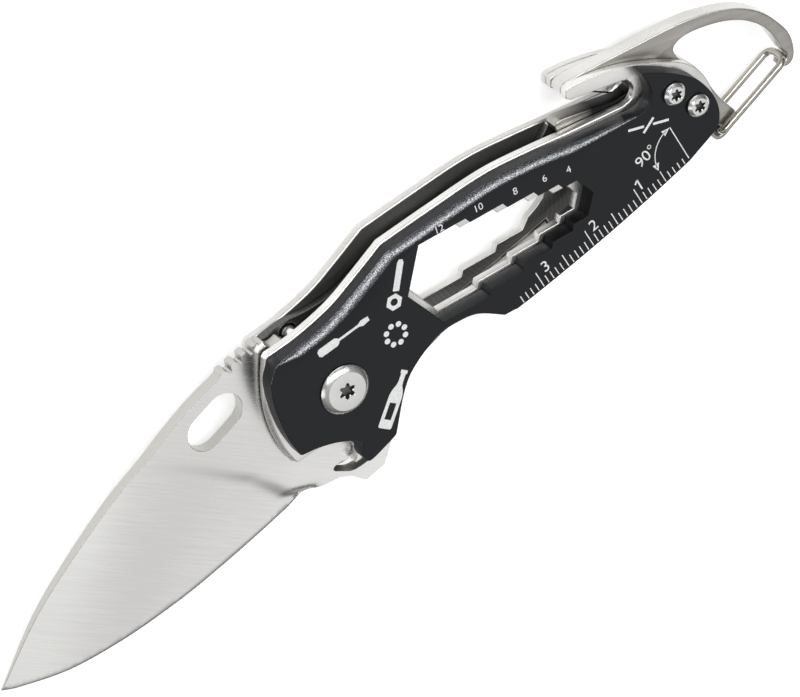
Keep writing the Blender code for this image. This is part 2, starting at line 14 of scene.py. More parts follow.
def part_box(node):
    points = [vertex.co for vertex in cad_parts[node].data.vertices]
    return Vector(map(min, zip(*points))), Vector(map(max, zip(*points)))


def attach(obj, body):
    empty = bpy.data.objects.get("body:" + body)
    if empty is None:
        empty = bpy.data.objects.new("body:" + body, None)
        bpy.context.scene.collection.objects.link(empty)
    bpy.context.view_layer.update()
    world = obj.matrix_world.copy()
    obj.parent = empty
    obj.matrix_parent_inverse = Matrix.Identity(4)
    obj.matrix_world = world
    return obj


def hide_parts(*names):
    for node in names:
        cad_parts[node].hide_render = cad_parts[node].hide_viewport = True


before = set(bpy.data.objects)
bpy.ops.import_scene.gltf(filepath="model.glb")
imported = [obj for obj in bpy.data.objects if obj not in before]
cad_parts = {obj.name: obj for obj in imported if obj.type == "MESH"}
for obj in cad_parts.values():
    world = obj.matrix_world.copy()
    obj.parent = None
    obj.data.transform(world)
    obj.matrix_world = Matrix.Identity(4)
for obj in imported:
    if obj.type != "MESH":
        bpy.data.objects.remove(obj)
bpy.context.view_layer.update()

# ---------------------------------------------------------------- the studio
# A pale light table under a large soft tent that is darker towards the horizon. The camera
# looks down from beyond the spine, and long lights lie along the tool so its edges catch them.

MM = 0.001
head_low, head_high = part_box("pivot_screw")
pivot = np.array([(head_low.x + head_high.x) / 2, (head_low.y + head_high.y) / 2]) / MM
head_top = Vector((pivot[0], pivot[1], head_high.z / MM)) * MM

CAMERA_DISTANCE, CAMERA_LENS = 1.181, 351.0
AIM_RIGHT, AIM_UP = 7.92 * MM, 6.54 * MM
view_right = Vector((0.7527, -0.4459, 0.4840)).normalized()
view_back = Vector((-0.1497, 0.5998, 0.7859)).normalized()
view_up = view_back.cross(view_right)
view_right = view_up.cross(view_back)
target = head_top + AIM_RIGHT * view_right + AIM_UP * view_up
camera_data = bpy.data.cameras.new("camera")
camera_data.lens = CAMERA_LENS
camera_data.clip_start = 0.05
camera_data.clip_end = 10.0
camera = bpy.data.objects.new("camera", camera_data)
camera.matrix_world = Matrix.Translation(target + CAMERA_DISTANCE * view_back) @ Matrix((
    (view_right.x, view_up.x, view_back.x), (view_right.y, view_up.y, view_back.y),
    (view_right.z, view_up.z, view_back.z))).to_4x4()
bpy.context.scene.collection.objects.link(camera)
bpy.context.scene.camera = camera
bpy.context.scene.view_settings.view_transform = "Standard"


def soft_light(name, direction, distance, width, height, power):
    """A rectangular soft box that stands off in a direction and faces the tool."""
    data = bpy.data.lights.new(name, "AREA")
    data.shape = "RECTANGLE"
    data.size, data.size_y = width, height
    data.energy = power
    light = bpy.data.objects.new(name, data)
    away = Vector(direction).normalized()
    light.matrix_world = (Matrix.Translation(away * distance)
                          @ away.to_track_quat("Z", "Y").to_matrix().to_4x4())
    bpy.context.scene.collection.objects.link(light)


soft_light("over_light", (0.15, -0.6, 0.786), distance=0.9, width=0.9, height=0.7, power=0.95)
soft_light("edge_light", (0.15, 0.46, 0.88), distance=0.9, width=1.1, height=0.22, power=5.2)
soft_light("spine_light", (0.15, 0.85, 0.42), distance=0.9, width=1.2, height=0.22, power=1.4)
soft_light("end_light", (-0.9, 0.1, 0.5), distance=1.0, width=0.4, height=0.5, power=0.7)

world = bpy.data.worlds.new("tent")
world.use_nodes = True
tent, sky = world.node_tree, world.node_tree.nodes["Background"]
sky_place = tent.nodes.new("ShaderNodeTexCoord")
sky_parts = tent.nodes.new("ShaderNodeSeparateXYZ")
sky_rise = tent.nodes.new("ShaderNodeMapRange")
for end, value in (("From Min", 0.15), ("From Max", 0.95), ("To Min", 0.12), ("To Max", 0.60)):
    sky_rise.inputs[end].default_value = value
tent.links.new(sky_place.outputs["Generated"], sky_parts.inputs["Vector"])
tent.links.new(sky_parts.outputs["Z"], sky_rise.inputs["Value"])
tent.links.new(sky_rise.outputs["Result"], sky.inputs["Strength"])
sky.inputs["Color"].default_value = (1.0, 1.0, 1.0, 1.0)
bpy.context.scene.world = world

table_mesh = bpy.data.meshes.new("light_table")
HALF_TABLE = 1.5
table_mesh.from_pydata([(-HALF_TABLE, -HALF_TABLE, 0), (HALF_TABLE, -HALF_TABLE, 0),
                        (HALF_TABLE, HALF_TABLE, 0), (-HALF_TABLE, HALF_TABLE, 0)],
                       [], [(0, 1, 2, 3)])
light_table = bpy.data.objects.new("light_table", table_mesh)
bpy.context.scene.collection.objects.link(light_table)
opal = bpy.data.materials.new("opal_table")
opal.use_nodes = True
opal_shader = opal.node_tree.nodes["Principled BSDF"]
opal_shader.inputs["Base Color"].default_value = (0.70, 0.70, 0.70, 1.0)
opal_shader.inputs["Roughness"].default_value = 0.9
opal_shader.inputs["Specular IOR Level"].default_value = 0.1
opal_shader.inputs["Emission Color"].default_value = (1.0, 1.0, 1.0, 1.0)
opal_shader.inputs["Emission Strength"].default_value = 0.52
table_mesh.materials.append(opal)

# ---------------------------------------------------------------- back plate
# The plate that the tool lies on: stamped stainless, satin on its faces, tumbled so that its
# edges are rounded. The barrel nuts sit on it from behind.

HEX_SIZES = [12, 10, 8, 6, 4]
HEX_TILT, HEX_OFFSET, HEX_START, HEX_PLAY = -13.0, 8.15, 22.9, 0.2
STEP_LEAST, STEP_SHARE = 1.35, 0.575
HEX_TAIL = [(1.5, -1.6), (3.3, -2.4), (4.8, -3.4)]
REAR_SCREWS = np.array([(68.0, 2.3), (70.2, -2.3)])
BARREL_HOLE, REAR_HOLE, TANG_HOLE = 2.8, 1.8, 2.6
SPINE_PEAK = (17.6, 14.5)
SLOT_END = (61.9, 6.4)
SLOT_RADIUS = 2.05


def smooth(points, spacing=0.5):
    """A Catmull-Rom curve, respaced evenly: on each span half of
    2b + (c-a)t + (2a-5b+4c-d)t^2 + (3b-a-3c+d)t^3."""
    p = np.array(points, float)
    p = np.vstack([2 * p[0] - p[1], p, 2 * p[-1] - p[-2]])
    a, b, c, d = (p[k:len(p) - 3 + k, None] for k in range(4))
    t = np.linspace(0, 1, 24, endpoint=False)[None, :, None]
    spans = 0.5 * (2 * b + (c - a) * t + (2 * a - 5 * b + 4 * c - d) * t ** 2
                   + (3 * b - a - 3 * c + d) * t ** 3)
    return respaced(np.vstack([spans.reshape(-1, 2), p[-2]]), spacing)


def respaced(path, spacing):
    """Points at even steps of length along a path, with its two ends kept."""
    run = np.r_[0, np.cumsum(np.hypot(*np.diff(path, axis=0).T))]
    steps = np.linspace(0, run[-1], max(2, int(round(run[-1] / spacing)) + 1))
    return np.column_stack([np.interp(steps, run, path[:, 0]), np.interp(steps, run, path[:, 1])])


def arc(centre, radius, start, end, steps=16):
    """Centre plus radius times the cosine and sine of evenly stepped angles, in degrees."""
    angle = np.radians(np.linspace(start, end, steps + 1))
    return np.array(centre) + radius * np.column_stack([np.cos(angle), np.sin(angle)])


def circle(centre, radius, steps=48):
    """A full arc without its last point, which is the first one again."""
    return arc(centre, radius, 0, 360, steps)[:-1]


def hex_row(sizes, margin, shift=0.0, tail=()):
    """The union of nested hexagons along a slanting axis: at each size the side runs level at
    half the size, and drops to the next size at 60 degrees. Hexagons lie a least step plus a
    share of their size apart. A tail carries on from the last one by its own small steps."""
    tilt, slope = np.radians(HEX_TILT), np.tan(np.radians(30))
    offset = HEX_OFFSET + shift
    half = (np.array(sizes) + HEX_PLAY) / 2 + margin
    pitch = np.r_[0, STEP_LEAST + STEP_SHARE * np.array(sizes[1:])]
    middles = HEX_START + np.cumsum(pitch)
    ends = middles + slope * half
    starts = np.r_[middles[0] - slope * half[0], ends[:-1] + slope * -np.diff(half)]
    steps = np.array(tail, float).reshape(-1, 2)
    side = np.r_[np.repeat(half, 2), half[-1] + steps[:, 1]]
    run = np.r_[np.column_stack([starts, ends]).ravel(), ends[-1] + steps[:, 0]]
    along = np.r_[middles[0] - 2 * slope * half[0], run, run[-1] + slope * side[-1]]
    across = np.r_[0, side, 0]
    along = np.r_[along, along[-2:0:-1]]
    across = np.r_[across, -across[-2:0:-1]] + offset
    return np.column_stack([along * np.cos(tilt) - across * np.sin(tilt),
                            along * np.sin(tilt) + across * np.cos(tilt)])


def height_at(x, curve):
    """The height of a curve that runs from left to right, at each x."""
    return np.interp(x, curve[:, 0], curve[:, 1])


def turned_to(loop, anticlockwise=True):
    """The loop in the direction asked for, from the sign of its shoelace area."""
    loop = np.asarray(loop, float)
    area = np.sum(loop[:, 0] * np.roll(loop[:, 1], -1) - loop[:, 1] * np.roll(loop[:, 0], -1))
    return loop if (area > 0) == anticlockwise else loop[::-1]


def inward(loop, least=0.45):
    """For each corner, the step that moves both its sides inwards by one: the sum of the two
    side normals over one plus their dot product, which is kept over a least value so that a
    needle-sharp corner doesn't run far."""
    along = np.roll(loop, -1, axis=0) - loop
    along /= np.hypot(*along.T)[:, None]
    normal = np.column_stack([-along[:, 1], along[:, 0]])
    before = np.roll(normal, 1, axis=0)
    return (before + normal) / np.maximum(1 + np.sum(before * normal, axis=1), least)[:, None]


def turn_of(corners):
    """Twice the area of triangles given as three arrays of corners, seen from above: positive
    where they turn anticlockwise."""
    a, b, c = corners
    return ((b[:, 0] - a[:, 0]) * (c[:, 1] - a[:, 1])
            - (b[:, 1] - a[:, 1]) * (c[:, 0] - a[:, 0]))


def mesh_of(name, vertices, faces, sharp=32.0):
    """A mesh object in the row's frame, from millimetres about the pivot, shaded smooth up to
    the sharp angle."""
    mesh = bpy.data.meshes.new(name)
    place = np.asarray(vertices, float) + np.array([pivot[0], pivot[1], 0.0])
    mesh.from_pydata((place * MM).tolist(), [], [list(map(int, face)) for face in faces])
    mesh.validate()
    mesh.shade_smooth()
    mesh.set_sharp_from_angle(angle=np.radians(sharp))
    piece = bpy.data.objects.new(name, mesh)
    bpy.context.scene.collection.objects.link(piece)
    return piece


def bands(first, rows, columns):
    """Quads between rows of a closed band whose vertices start at first, row after row."""
    row, column = np.meshgrid(np.arange(rows - 1), np.arange(columns), indexing="ij")
    after = (column + 1) % columns
    return np.column_stack([grid.ravel() for grid in (
        first + row * columns + column, first + row * columns + after,
        first + (row + 1) * columns + after, first + (row + 1) * columns + column)])


def plate(name, outer, holes, bottom, top, low=0.15, high=0.15, turns=3, sharp=32.0,
          slant=None, crown=0.1):
    """A flat plate. An edge profile, a quarter round of radius low below and of radius high
    above, is carried round the outline and round each hole, and flat caps close it. A radius
    may be an array, one value for each corner of the outline. A slant of (share, width, drop)
    turns that share of the outline's upper edge into a chamfer, which a half sine wave crowns
    by a share of its drop."""
    loops = [turned_to(outer)] + [turned_to(hole, False) for hole in holes]
    angle = np.linspace(0, np.pi / 2, turns + 1)
    parts, faces, first, low_ids, high_ids = [], [], 0, [], []
    for index, loop in enumerate(loops):
        step = inward(loop)
        low_r = np.broadcast_to(low if index == 0 else np.min(low), len(loop))[None, :]
        high_r = np.broadcast_to(high if index == 0 else np.min(high), len(loop))[None, :]
        inset = np.vstack([low_r * (1 - np.sin(angle))[:, None],
                           high_r * (1 - np.cos(angle))[:, None]])
        level = np.vstack([bottom + low_r * (1 - np.cos(angle))[:, None],
                           top - high_r * (1 - np.sin(angle))[:, None]])
        if slant is not None and index == 0:
            share, width, drop = slant
            rise = np.linspace(0, 1, turns + 1)[:, None]
            inset[turns + 1:] += share * (width * rise - inset[turns + 1:])
            sloped = top - drop * (1 - rise) + crown * drop * np.sin(np.pi * rise)
            level[turns + 1:] += share * (sloped - level[turns + 1:])
        flat = loop[None] + step[None] * inset[..., None]
        parts.append(np.concatenate([flat, level[..., None]], axis=2).reshape(-1, 3))
        faces.append(bands(first, len(inset), len(loop)))
        low_ids.append(first + np.arange(len(loop)))
        high_ids.append(first + (len(inset) - 1) * len(loop) + np.arange(len(loop)))
        first += inset.size
    points = np.vstack(parts)
    faces = np.vstack(faces).tolist()
    for ids, up in ((low_ids, False), (high_ids, True)):
        corners = np.concatenate(ids)
        caps = corners[np.array(tessellate_polygon(
            [[Vector(point) for point in points[loop_ids]] for loop_ids in ids]))]
        area = turn_of(points[caps[:, k]] for k in range(3))
        turned = (area > 0) != up
        caps[turned] = caps[turned][:, ::-1]
        faces += caps[np.abs(area) > 1e-9].tolist()
    return mesh_of(name, points, faces, sharp)


def graph(name, colour, roughness, metallic):
    """A new node material, and the links and nodes that its pattern is added to."""
    result = bpy.data.materials.new(name)
    result.use_nodes = True
    shader = result.node_tree.nodes["Principled BSDF"]
    shader.inputs["Base Color"].default_value = (*colour, 1.0)
    shader.inputs["Roughness"].default_value = roughness
    shader.inputs["Metallic"].default_value = metallic
    return result, result.node_tree.nodes, result.node_tree.links, shader


def noise(nodes, links, scale, stretch=(1, 1, 1), turn=0.0, detail=4.0):
    """Noise on the piece's own coordinates, stretched and turned about Z; scale is the number
    of grains in a metre."""
    place = nodes.new("ShaderNodeTexCoord")
    mapping = nodes.new("ShaderNodeMapping")
    mapping.vector_type = "TEXTURE"
    mapping.inputs["Rotation"].default_value = (0, 0, np.radians(turn))
    mapping.inputs["Scale"].default_value = stretch
    texture = nodes.new("ShaderNodeTexNoise")
    texture.inputs["Scale"].default_value = scale
    texture.inputs["Detail"].default_value = detail
    links.new(place.outputs["Object"], mapping.inputs["Vector"])
    links.new(mapping.outputs["Vector"], texture.inputs["Vector"])
    return texture.outputs["Fac"]


def spread(nodes, links, value, low, high, start=0.3, end=0.7):
    """A value moved from the range start to end into the range low to high."""
    fit = nodes.new("ShaderNodeMapRange")
    for name, limit in (("From Min", start), ("From Max", end), ("To Min", low), ("To Max", high)):
        fit.inputs[name].default_value = limit
    links.new(value, fit.inputs["Value"])
    return fit.outputs["Result"]


def tint(nodes, links, value, first, second):
    """A colour between two, by a value from 0 to 1."""
    mix = nodes.new("ShaderNodeMix")
    mix.data_type = "RGBA"
    mix.inputs["A"].default_value = (*first, 1.0)
    mix.inputs["B"].default_value = (*second, 1.0)
    links.new(value, mix.inputs["Factor"])
    return mix.outputs["Result"]


def bump(nodes, links, height, depth, shader):
    """Height as relief of a real depth in metres, fed to the shader's normal."""
    relief = nodes.new("ShaderNodeBump")
    relief.inputs["Strength"].default_value = 1.0
    relief.inputs["Distance"].default_value = depth
    links.new(height, relief.inputs["Height"])
    links.new(relief.outputs["Normal"], shader.inputs["Normal"])


def share_of(nodes, links, value, share, other):
    """A share of one value, added to another."""
    total = nodes.new("ShaderNodeMath")
    total.operation = "MULTIPLY_ADD"
    total.inputs[1].default_value = share
    links.new(value, total.inputs[0])
    links.new(other, total.inputs[2])
    return total.outputs["Value"]


def brushed(name, dark, light, roughness, turn, lines=9000, stretch=24.0, depth=4e-6):
    """Metal brushed along one direction: fine streaks in its colour, gloss and relief, over
    broad, soft stains."""
    result, nodes, links, shader = graph(name, light, roughness, 1.0)
    streaks = noise(nodes, links, lines, (stretch, 1, 1), turn)
    stains = noise(nodes, links, 120, (1, 1, 1), 0, 2.0)
    both = share_of(nodes, links, streaks, 0.6, spread(nodes, links, stains, 0.0, 0.4))
    links.new(tint(nodes, links, spread(nodes, links, both, 0, 1), dark, light),
              shader.inputs["Base Color"])
    links.new(spread(nodes, links, streaks, roughness - 0.06, roughness + 0.08),
              shader.inputs["Roughness"])
    bump(nodes, links, streaks, depth, shader)
    return result


def refinish(piece, finish, chosen_by):
    """A second finish on some of the piece's faces, chosen by a test on the middles of the
    faces, in millimetres about the pivot, and on their normals."""
    piece.data.materials.append(finish)
    middle, normal = np.empty((2, len(piece.data.polygons) * 3))
    piece.data.polygons.foreach_get("center", middle)
    piece.data.polygons.foreach_get("normal", normal)
    chosen = chosen_by(middle.reshape(-1, 3) / MM - np.array([*pivot, 0]), normal.reshape(-1, 3))
    index = np.empty(len(chosen), np.int32)
    piece.data.polygons.foreach_get("material_index", index)
    index[chosen] = len(piece.data.materials) - 1
    piece.data.polygons.foreach_set("material_index", index)


SPINE = np.vstack([
    smooth([(-6.3, 12.0), (-0.9, 11.5), (5.5, 11.7), (10.5, 12.7), SPINE_PEAK])[:-1],
    smooth([SPINE_PEAK, (27.0, 13.4), (37.0, 12.0), (44.9, 9.7), (51.0, 7.6)])])
CORD_SLOT = np.vstack([(SLOT_END[0] - 1.0, SLOT_END[1] - SLOT_RADIUS + 0.05),
                       arc(SLOT_END, SLOT_RADIUS, -85, 65), (54.6, 11.7)])
NOSE = smooth([(54.0, 12.4), (54.3, 13.2), (55.3, 13.8), (59.7, 12.4), (64.6, 9.9), (69.5, 6.3)])
REAR = smooth([(69.5, 6.3), (72.5, 3.4), (74.0, 0.5), (74.4, -2.5), (73.9, -5.4), (72.6, -7.7),
               (70.6, -8.9)])[1:]
BELLY = smooth([(64.5, -9.7), (56.2, -10.1), (46.3, -10.3), (34.5, -10.1), (28.6, -9.8)])
FINGER_NOTCH = smooth([(27.1, -9.3), (23.7, -5.9), (20.6, -4.6), (17.0, -4.1), (11.9, -5.2),
                       (7.9, -7.5), (2.5, -13.4)])
OPENER_HOOK = smooth([(-0.4, -14.1), (-3.4, -14.6), (-4.6, -14.3), (-3.7, -13.7), (-3.1, -12.5),
                      (-3.2, -11.0), (-4.6, -9.4), (-8.0, -7.8), (-11.7, -7.3)])
FRONT_END = smooth([(-12.4, -6.6), (-12.6, -3.6), (-12.2, 0.4), (-11.1, 4.4), (-9.2, 8.3),
                    (-7.0, 11.7)])
CHIN = smooth([(0.9, -15.0), (-1.8, -16.3), (-5.4, -16.4), (-8.6, -14.4), (-10.6, -11.6),
               (-11.4, -9.0)])
pivot_holes = [circle((0, 0), BARREL_HOLE)] + [circle(at, REAR_HOLE, 32) for at in REAR_SCREWS]

back_low, back_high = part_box("back_plate")
BACK_OUTLINE = np.vstack([SPINE, CORD_SLOT, NOSE, REAR, BELLY, [(2.5, -13.4)], CHIN, FRONT_END])
back_plate = plate("back_plate_satin", BACK_OUTLINE,
                   [hex_row(HEX_SIZES[:3], 1.0, -0.8, HEX_TAIL)] + pivot_holes,
                   back_low.z / MM, back_high.z / MM, 0.3, 0.36)
plate_steel = brushed("plate_steel", (0.57, 0.56, 0.535), (0.69, 0.68, 0.66), 0.30, -8)
back_plate.data.materials.append(plate_steel)
# The up face, seen only in the gaps and windows between the plates, gets a dark copy of the steel
# as painted shade
painted_shade_steel = graph("painted_shade_steel", (0.13, 0.13, 0.127), 0.45, 1.0)[0]
refinish(back_plate, painted_shade_steel, lambda at, normal: normal[:, 2] > 0.99)
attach(back_plate, "handle")
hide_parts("back_plate")

# ---------------------------------------------------------------- lock liner, lock bar and ball
# A thinner stamped plate on the back plate. A long bar cut free along its belly springs
# under the tang; a small pressed-in ball holds the closed blade. Bolts have rubbed arcs on it.

LOCK_ROOT, LOCK_TIP, LOCK_TOP, KERF, BAR_BELLY = 42.0, 6.2, -6.0, 0.35, -9.9
STOP_GAP, TANG_GAP = 0.3, 0.5
lock_low, lock_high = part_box("lock_liner")
LOCK_SPINE = np.vstack([
    smooth([(-5.8, 11.8), (-0.9, 11.5), (3.5, 10.2), (8.0, 9.5), (12.5, 9.9), (17.4, 10.9),
            (22.0, 11.0), (27.0, 10.2), (37.0, 8.7), (43.5, 6.6), (47.5, 5.9)]), (50.5, 7.4)])
lock_belly = [(LOCK_ROOT + KERF, -10.2), (LOCK_ROOT + KERF, LOCK_TOP), (LOCK_TIP - KERF, LOCK_TOP),
              (4.6, -10.4)]
LOCK_OUTLINE = np.vstack([
    LOCK_SPINE, CORD_SLOT, NOSE, REAR, BELLY[BELLY[:, 0] > LOCK_ROOT + 0.8], lock_belly,
    [(2.5, -13.4)], CHIN,
    smooth([(-11.6, -6.6), (-11.8, -3.6), (-11.4, 0.4), (-10.3, 4.4), (-8.4, 8.4), (-6.4, 11.4)])])
stop_low, stop_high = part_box("stop_pin")
stop_at = np.array([stop_low.x + stop_high.x, stop_low.y + stop_high.y]) / 2 / MM - pivot
stop_radius = (stop_high.x - stop_low.x) / 2 / MM
stop_hole = circle(stop_at, stop_radius + STOP_GAP, 40)
lock_liner = plate("lock_liner_satin", LOCK_OUTLINE,
                   [hex_row(HEX_SIZES[:3], 0.0, 0.0, HEX_TAIL), stop_hole] + pivot_holes,
                   lock_low.z / MM, lock_high.z / MM, 0.1, 0.14)

# The up face and the spine strip seen in the gap get a dark copy of the steel as painted shade,
# with the bolts' rubbed arcs as lighter swirls on it
rubbed_and_shaded_steel, nodes, links, shader = graph("rubbed_and_shaded_steel", (0.16, 0.16, 0.16), 0.42, 1.0)
place = nodes.new("ShaderNodeTexCoord")
swirl_centre = nodes.new("ShaderNodeMapping")
SWIRL_AT = (38.0, -1.5)
swirl_centre.inputs["Location"].default_value = (
    -(pivot[0] + SWIRL_AT[0]) * MM, -(pivot[1] + SWIRL_AT[1]) * MM, 0)
swirl = nodes.new("ShaderNodeTexWave")
swirl.wave_type = "RINGS"
swirl.rings_direction = "Z"
swirl.inputs["Scale"].default_value = 420.0
swirl.inputs["Distortion"].default_value = 3.0
swirl.inputs["Detail"].default_value = 3.0
links.new(place.outputs["Object"], swirl_centre.inputs["Vector"])
links.new(swirl_centre.outputs["Vector"], swirl.inputs["Vector"])
worn = spread(nodes, links, swirl.outputs["Fac"], 0.0, 1.0, 0.85, 1.0)
links.new(tint(nodes, links, worn, (0.11, 0.11, 0.108), (0.145, 0.145, 0.14)),
          shader.inputs["Base Color"])
lock_liner.data.materials.append(plate_steel)
refinish(lock_liner, rubbed_and_shaded_steel, lambda at, normal: (
    (normal[:, 2] > 0.99)
    | (at[:, 1] > height_at(at[:, 0], LOCK_SPINE) - 0.5) & (at[:, 0] < 50)))
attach(lock_liner, "handle")
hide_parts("lock_liner")

bar_top = LOCK_TOP - KERF
bar_outline = np.vstack([
    [(LOCK_TIP, bar_top), (LOCK_ROOT, bar_top), (LOCK_ROOT, -10.2)],
    smooth([(34.5, BAR_BELLY - 0.2), (20.0, BAR_BELLY), (9.0, BAR_BELLY),
            (LOCK_TIP - 0.3, BAR_BELLY + 0.3)])])
ball_low, ball_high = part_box("detent_ball")
ball_centre = (np.array(ball_low) + np.array(ball_high)) / 2 / MM - np.array([*pivot, 0])
ball_radius = (ball_high.z - ball_low.z) / 2 / MM
bar_low, bar_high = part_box("lock_bar")
lock_bar = plate("lock_bar_satin", bar_outline, [circle(ball_centre[:2], ball_radius + 0.1, 24)],
                 bar_low.z / MM, bar_high.z / MM, 0.1, 0.14)
lock_bar.data.materials.append(plate_steel)
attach(lock_bar, "lock")
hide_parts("lock_bar")


def revolved(name, centre, profile, sides=64, sharp=32.0, lobes=None):
    """A profile of (radius, height) turned about a vertical axis. Where lobes gives a depth
    for a row, its radius swells and shrinks six times round by that share."""
    radius, height = np.array(profile, float).T
    swing = np.zeros(len(radius)) if lobes is None else np.array(lobes, float)
    angle = np.linspace(0, 2 * np.pi, sides, endpoint=False)[None]
    wave = 1 + swing[:, None] * (np.cos(6 * angle) - 1) / 2
    rows = np.stack([centre[0] + radius[:, None] * wave * np.cos(angle),
                     centre[1] + radius[:, None] * wave * np.sin(angle),
                     np.broadcast_to(height[:, None], (len(radius), sides))], axis=2)
    on_axis = radius < 1e-9
    inner = rows[~on_axis].reshape(-1, 3)
    count = int((~on_axis).sum())
    faces = bands(0, count, sides).tolist()
    ring = np.arange(sides)
    points = [inner]
    if on_axis[0]:
        points.append(rows[0, :1])
        faces += np.column_stack([np.full(sides, len(inner)), np.roll(ring, -1), ring]).tolist()
    if on_axis[-1]:
        tip = len(inner) + int(on_axis[0])
        last = (count - 1) * sides + ring
        points.append(rows[-1, :1])
        faces += np.column_stack([np.full(sides, tip), last, np.roll(last, -1)]).tolist()
    if not on_axis[0] and not on_axis[-1]:
        last = (count - 1) * sides + ring
        faces += np.column_stack([last, np.roll(last, -1), np.roll(ring, -1), ring]).tolist()
    return mesh_of(name, np.vstack(points), faces, sharp)


polar = np.linspace(-np.pi / 2, np.pi / 2, 17)
ball = revolved("detent_ball_polished", ball_centre[:2],
                np.column_stack([ball_radius * np.cos(polar).clip(0) * (np.abs(polar) < 1.57),
                                 ball_centre[2] + ball_radius * np.sin(polar)]), 32)
polished = brushed("polished_steel", (0.70, 0.69, 0.67), (0.88, 0.88, 0.87), 0.14, 30, 4000, 3.0,
                   1e-6)
ball.data.materials.append(polished)
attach(ball, "lock")
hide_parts("detent_ball")

# ---------------------------------------------------------------- carabiner hook
# One thick plate is both the spacer between the liners at the rear and the carabiner outside
# them. It is bead-blasted to a warm grey, and its edges are rounded for the hand.

HOOK_END = 89.8
GATE_PIVOT = np.array([72.3, -12.4])
GATE_TIP = np.array([HOOK_END - 2.9, -9.5])
WIRE_RADIUS, WIRE_GAP = 0.6, 0.3
ARM = smooth([(55.3, 13.8), (57.4, 13.4), (64.9, 11.4), (74.8, 8.6), (79.7, 6.6),
              (HOOK_END - 5.2, 3.5), (HOOK_END - 2.0, -0.3), (HOOK_END - 0.3, -4.8),
              (HOOK_END, -7.4), (HOOK_END - 0.6, -9.8), (HOOK_END - 1.6, -11.2),
              (HOOK_END - 2.9, -11.5), (HOOK_END - 3.8, -10.9)])
GATE_NOTCH = arc(GATE_TIP, WIRE_RADIUS + WIRE_GAP, 255, 400, 12)
LOOP = smooth([(HOOK_END - 2.3, -7.7), (HOOK_END - 2.5, -4.8), (HOOK_END - 3.2, -2.3),
               (HOOK_END - 5.2, 0.7), (HOOK_END - 8.1, 3.1), (77.7, 5.1),
               (74.8, 5.8), (72.9, 5.3), (72.8, 3.3), (74.0, 0.9), (74.7, -2.0), (75.0, -7.0),
               (76.1, -11.4)])
LUG = smooth([(75.8, -12.2), (74.6, -13.4), (73.0, -14.0), (71.5, -13.9), (70.8, -12.9),
              (70.6, -10.0), (70.2, -7.6)])
HOOK_INNER = smooth([(70.2, -6.4), (66.5, -3.9), (60.0, 0.8), (55.0, 4.3), (50.8, 6.6)])
SLOT_GUARD = np.vstack([(50.4, 7.6), smooth([(50.6, 8.6), (51.5, 9.0), (54.2, 8.0), (60.9, 5.0)])])
HOOK_OUTLINE = np.vstack([[(54.6, 11.9), (54.1, 12.9), (54.6, 13.6)], ARM, GATE_NOTCH, LOOP, LUG,
                          HOOK_INNER, SLOT_GUARD, arc(SLOT_END, SLOT_RADIUS, -60, 65)])
hook_low, hook_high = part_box("carabiner_hook")
hook_bottom, hook_top = hook_low.z / MM, hook_high.z / MM
hook = plate("carabiner_hook_blasted", HOOK_OUTLINE,
             [circle(at, REAR_HOLE, 32) for at in REAR_SCREWS]
             + [circle(GATE_PIVOT, WIRE_RADIUS + WIRE_GAP, 24)],
             hook_bottom, hook_top, 0.28, 0.28)
hook_steel, nodes, links, shader = graph("hook_steel", (0.48, 0.46, 0.43), 0.30, 1.0)
grain = noise(nodes, links, 9000, (1, 1, 1), 0, 2.0)
lines = noise(nodes, links, 1500, (8, 1, 1), -20, 2.0)
plain = tint(nodes, links, spread(nodes, links, lines, 0, 1), (0.34, 0.325, 0.30),
             (0.41, 0.395, 0.37))
# Inside the slot the plate's colour is darkened towards the slot's closed end, as painted shade
SLOT_ALONG, SLOT_ACROSS = (0.906, -0.423), (0.423, 0.906)


def from_slot_end(nodes, links, axis, low, high):
    """From 0 at low to 1 at high, in metres from the middle of the slot's end along an axis."""
    place = nodes.new("ShaderNodeTexCoord")
    off, dot = nodes.new("ShaderNodeVectorMath"), nodes.new("ShaderNodeVectorMath")
    off.operation, dot.operation = "SUBTRACT", "DOT_PRODUCT"
    off.inputs[1].default_value = ((pivot[0] + SLOT_END[0]) * MM, (pivot[1] + SLOT_END[1]) * MM, 0)
    dot.inputs[1].default_value = (*axis, 0)
    links.new(place.outputs["Object"], off.inputs[0])
    links.new(off.outputs["Vector"], dot.inputs[0])
    return spread(nodes, links, dot.outputs["Value"], 0, 1, low, high)


# Painted shade: a near-black mixed into the colour inside the slot, deepest at its closed end
slot_shade, bounds = nodes.new("ShaderNodeMath"), nodes.new("ShaderNodeMath")
slot_shade.operation = bounds.operation = "MULTIPLY"
links.new(from_slot_end(nodes, links, SLOT_ACROSS, 0.0010, -0.0005), bounds.inputs[0])
links.new(from_slot_end(nodes, links, SLOT_ALONG, 0.0050, 0.0035), bounds.inputs[1])
links.new(bounds.outputs["Value"], slot_shade.inputs[0])
links.new(from_slot_end(nodes, links, SLOT_ALONG, -0.0095, -0.0045), slot_shade.inputs[1])
slot_shade_mix = nodes.new("ShaderNodeMix")
slot_shade_mix.data_type = "RGBA"
slot_shade_mix.inputs["B"].default_value = (0.012, 0.012, 0.012, 1.0)
links.new(slot_shade.outputs["Value"], slot_shade_mix.inputs["Factor"])
links.new(plain, slot_shade_mix.inputs["A"])
links.new(slot_shade_mix.outputs["Result"], shader.inputs["Base Color"])
links.new(spread(nodes, links, grain, 0.26, 0.36), shader.inputs["Roughness"])
bump(nodes, links, grain, 3e-6, shader)
hook.data.materials.append(hook_steel)
